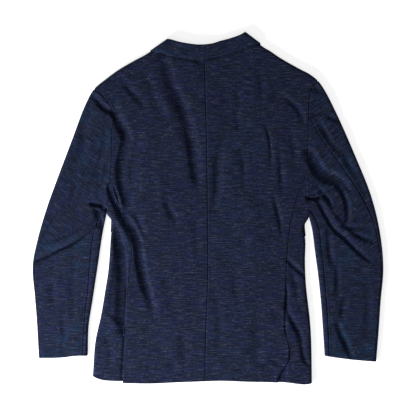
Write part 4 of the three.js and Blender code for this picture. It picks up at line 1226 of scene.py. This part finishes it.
@dataclass
class Buttons:
    """The two front buttons, under the coat."""

    horn: Material
    radius: float = 10.0
    thickness: float = 2.5
    turns: int = 48

    def build(self) -> list[Object]:
        """Turns each button from its profile, with a rim and a sunk middle."""
        r, t, turns = self.radius, self.thickness, self.turns
        rings = [(r - 4.2, 0.7), (r - 3.2, 0.3), (r - 1.8, 0.0), (r - 0.5, 0.25), (r, 1.0),
                 (r - 0.2, t - 0.4), (r - 1.0, t), (r - 2.4, t), (r - 3.2, t - 0.7)]
        angles = [2 * math.pi * k / turns for k in range(turns)]
        top = 1 + (len(rings) - 1) * turns
        pieces = []
        for i, y in enumerate(BUTTONS_AT):
            around = [(wide * math.cos(a), y + wide * math.sin(a), z) for wide, z in rings for a in angles]
            points = [(0.0, y, rings[0][1]), *around, (0.0, y, rings[-1][1])]
            faces = []
            for k in range(turns):
                n = (k + 1) % turns
                faces.append((0, 1 + n, 1 + k))
                faces += [(a + k, a + n, a + turns + n, a + turns + k) for a in range(1, top, turns)]
                faces.append((top + k, top + n, len(points) - 1))
            piece = new_object(f"horn_button_{i + 1}", points, faces, self.horn)
            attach(piece, "root")
            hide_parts(f"front_button_{i + 1}")
            pieces.append(piece)
        return pieces


@dataclass
class Studio:
    """The pale floor, the soft light and the camera straight above."""

    view_width: float = 0.936  # what the picture takes in, 416 pixels at 2.25 mm
    camera_height: float = 4.2
    key_place: Triple = (-1.4, -1.45, 0.9)
    key_size: float = 0.9
    key_energy: float = 80.0
    top_place: Triple = (-0.4, -0.5, 2.6)
    top_size: float = 2.0
    top_energy: float = 6.5
    sky: float = 0.16
    floor_glow: float = 0.72
    floor_size: float = 6000.0
    floor_drop: float = 0.2  # how far the floor lies under the coat, in mm

    def floor(self) -> None:
        """Lays the floor just under the coat."""
        size, z = self.floor_size, -self.floor_drop
        material = new_material("paper", {
            "Base Color": (0.93, 0.93, 0.93, 1), "Emission Color": (1, 1, 1, 1),
            "Emission Strength": self.floor_glow, "Roughness": 0.9, "Specular IOR Level": 0.1,
        })
        corners = [(-size, -size, z), (size, -size, z), (size, size, z), (-size, size, z)]
        new_object("ground", corners, [(0, 1, 2, 3)], material)

    def lamp(self, name: str, place: Triple, size: float, energy: float) -> None:
        """Hangs a square soft light that looks at the coat's middle."""
        data = bpy.data.lights.new(name, "AREA")
        data.size = size
        data.energy = energy
        lamp = bpy.data.objects.new(name, data)
        lamp.location = place
        lamp.rotation_euler = (-Vector(place)).to_track_quat("-Z", "Y").to_euler()
        bpy.context.scene.collection.objects.link(lamp)

    def camera(self) -> None:
        """Sets the camera straight above the coat, with a long lens."""
        data = bpy.data.cameras.new("camera")
        data.sensor_width = 36.0
        data.lens = 36.0 * self.camera_height / self.view_width
        data.clip_end = 50.0
        camera = bpy.data.objects.new("camera", data)
        camera.location = (0.0, 0.0, self.camera_height)
        bpy.context.scene.collection.objects.link(camera)
        bpy.context.scene.camera = camera

    def build(self) -> None:
        """Sets up the floor, lights, world and camera."""
        self.floor()
        self.lamp("key", self.key_place, self.key_size, self.key_energy)
        self.lamp("top", self.top_place, self.top_size, self.top_energy)
        world = bpy.data.worlds.new("room")
        world.use_nodes = True
        background = world.node_tree.nodes["Background"]
        background.inputs["Color"].default_value = (1, 1, 1, 1)
        background.inputs["Strength"].default_value = self.sky
        bpy.context.scene.world = world
        bpy.context.scene.view_settings.view_transform = "Standard"
        self.camera()


def main() -> None:
    """Builds the coat piece by piece and logs the faces of each piece."""
    logging.basicConfig(level=logging.INFO, format="%(name)s: %(message)s")
    weave = slub_weave()
    body_cloth = SlubCloth("slub_body").material(weave)
    sleeve_cloth = SlubCloth("slub_sleeve", slubs=0.8, depth=0.85, teals=0.75).material(weave)
    # The collar's cloth has fewer dark yarns than the body's, so it is lighter: partly the collar's own tint,
    # partly painted light for the light on the raised collar
    collar_cloth_tint_and_painted_light = SlubCloth("slub_collar_tint_and_painted_light", slubs=0.85, depth=0.75, teals=0.7).material(weave)
    relief = Relief(BACK_FOLDS + SLEEVE_FOLDS + GROOVES)
    assemblies = (
        Body(relief, body_cloth),
        Sleeves(relief, sleeve_cloth),
        Collar(collar_cloth_tint_and_painted_light),
        Buttons(Horn().material()),
    )
    for assembly in assemblies:
        for piece in assembly.build():
            log.info("%s: %d faces", piece.name, len(piece.data.polygons))
    Studio().build()


if __name__ == "__main__":
    main()
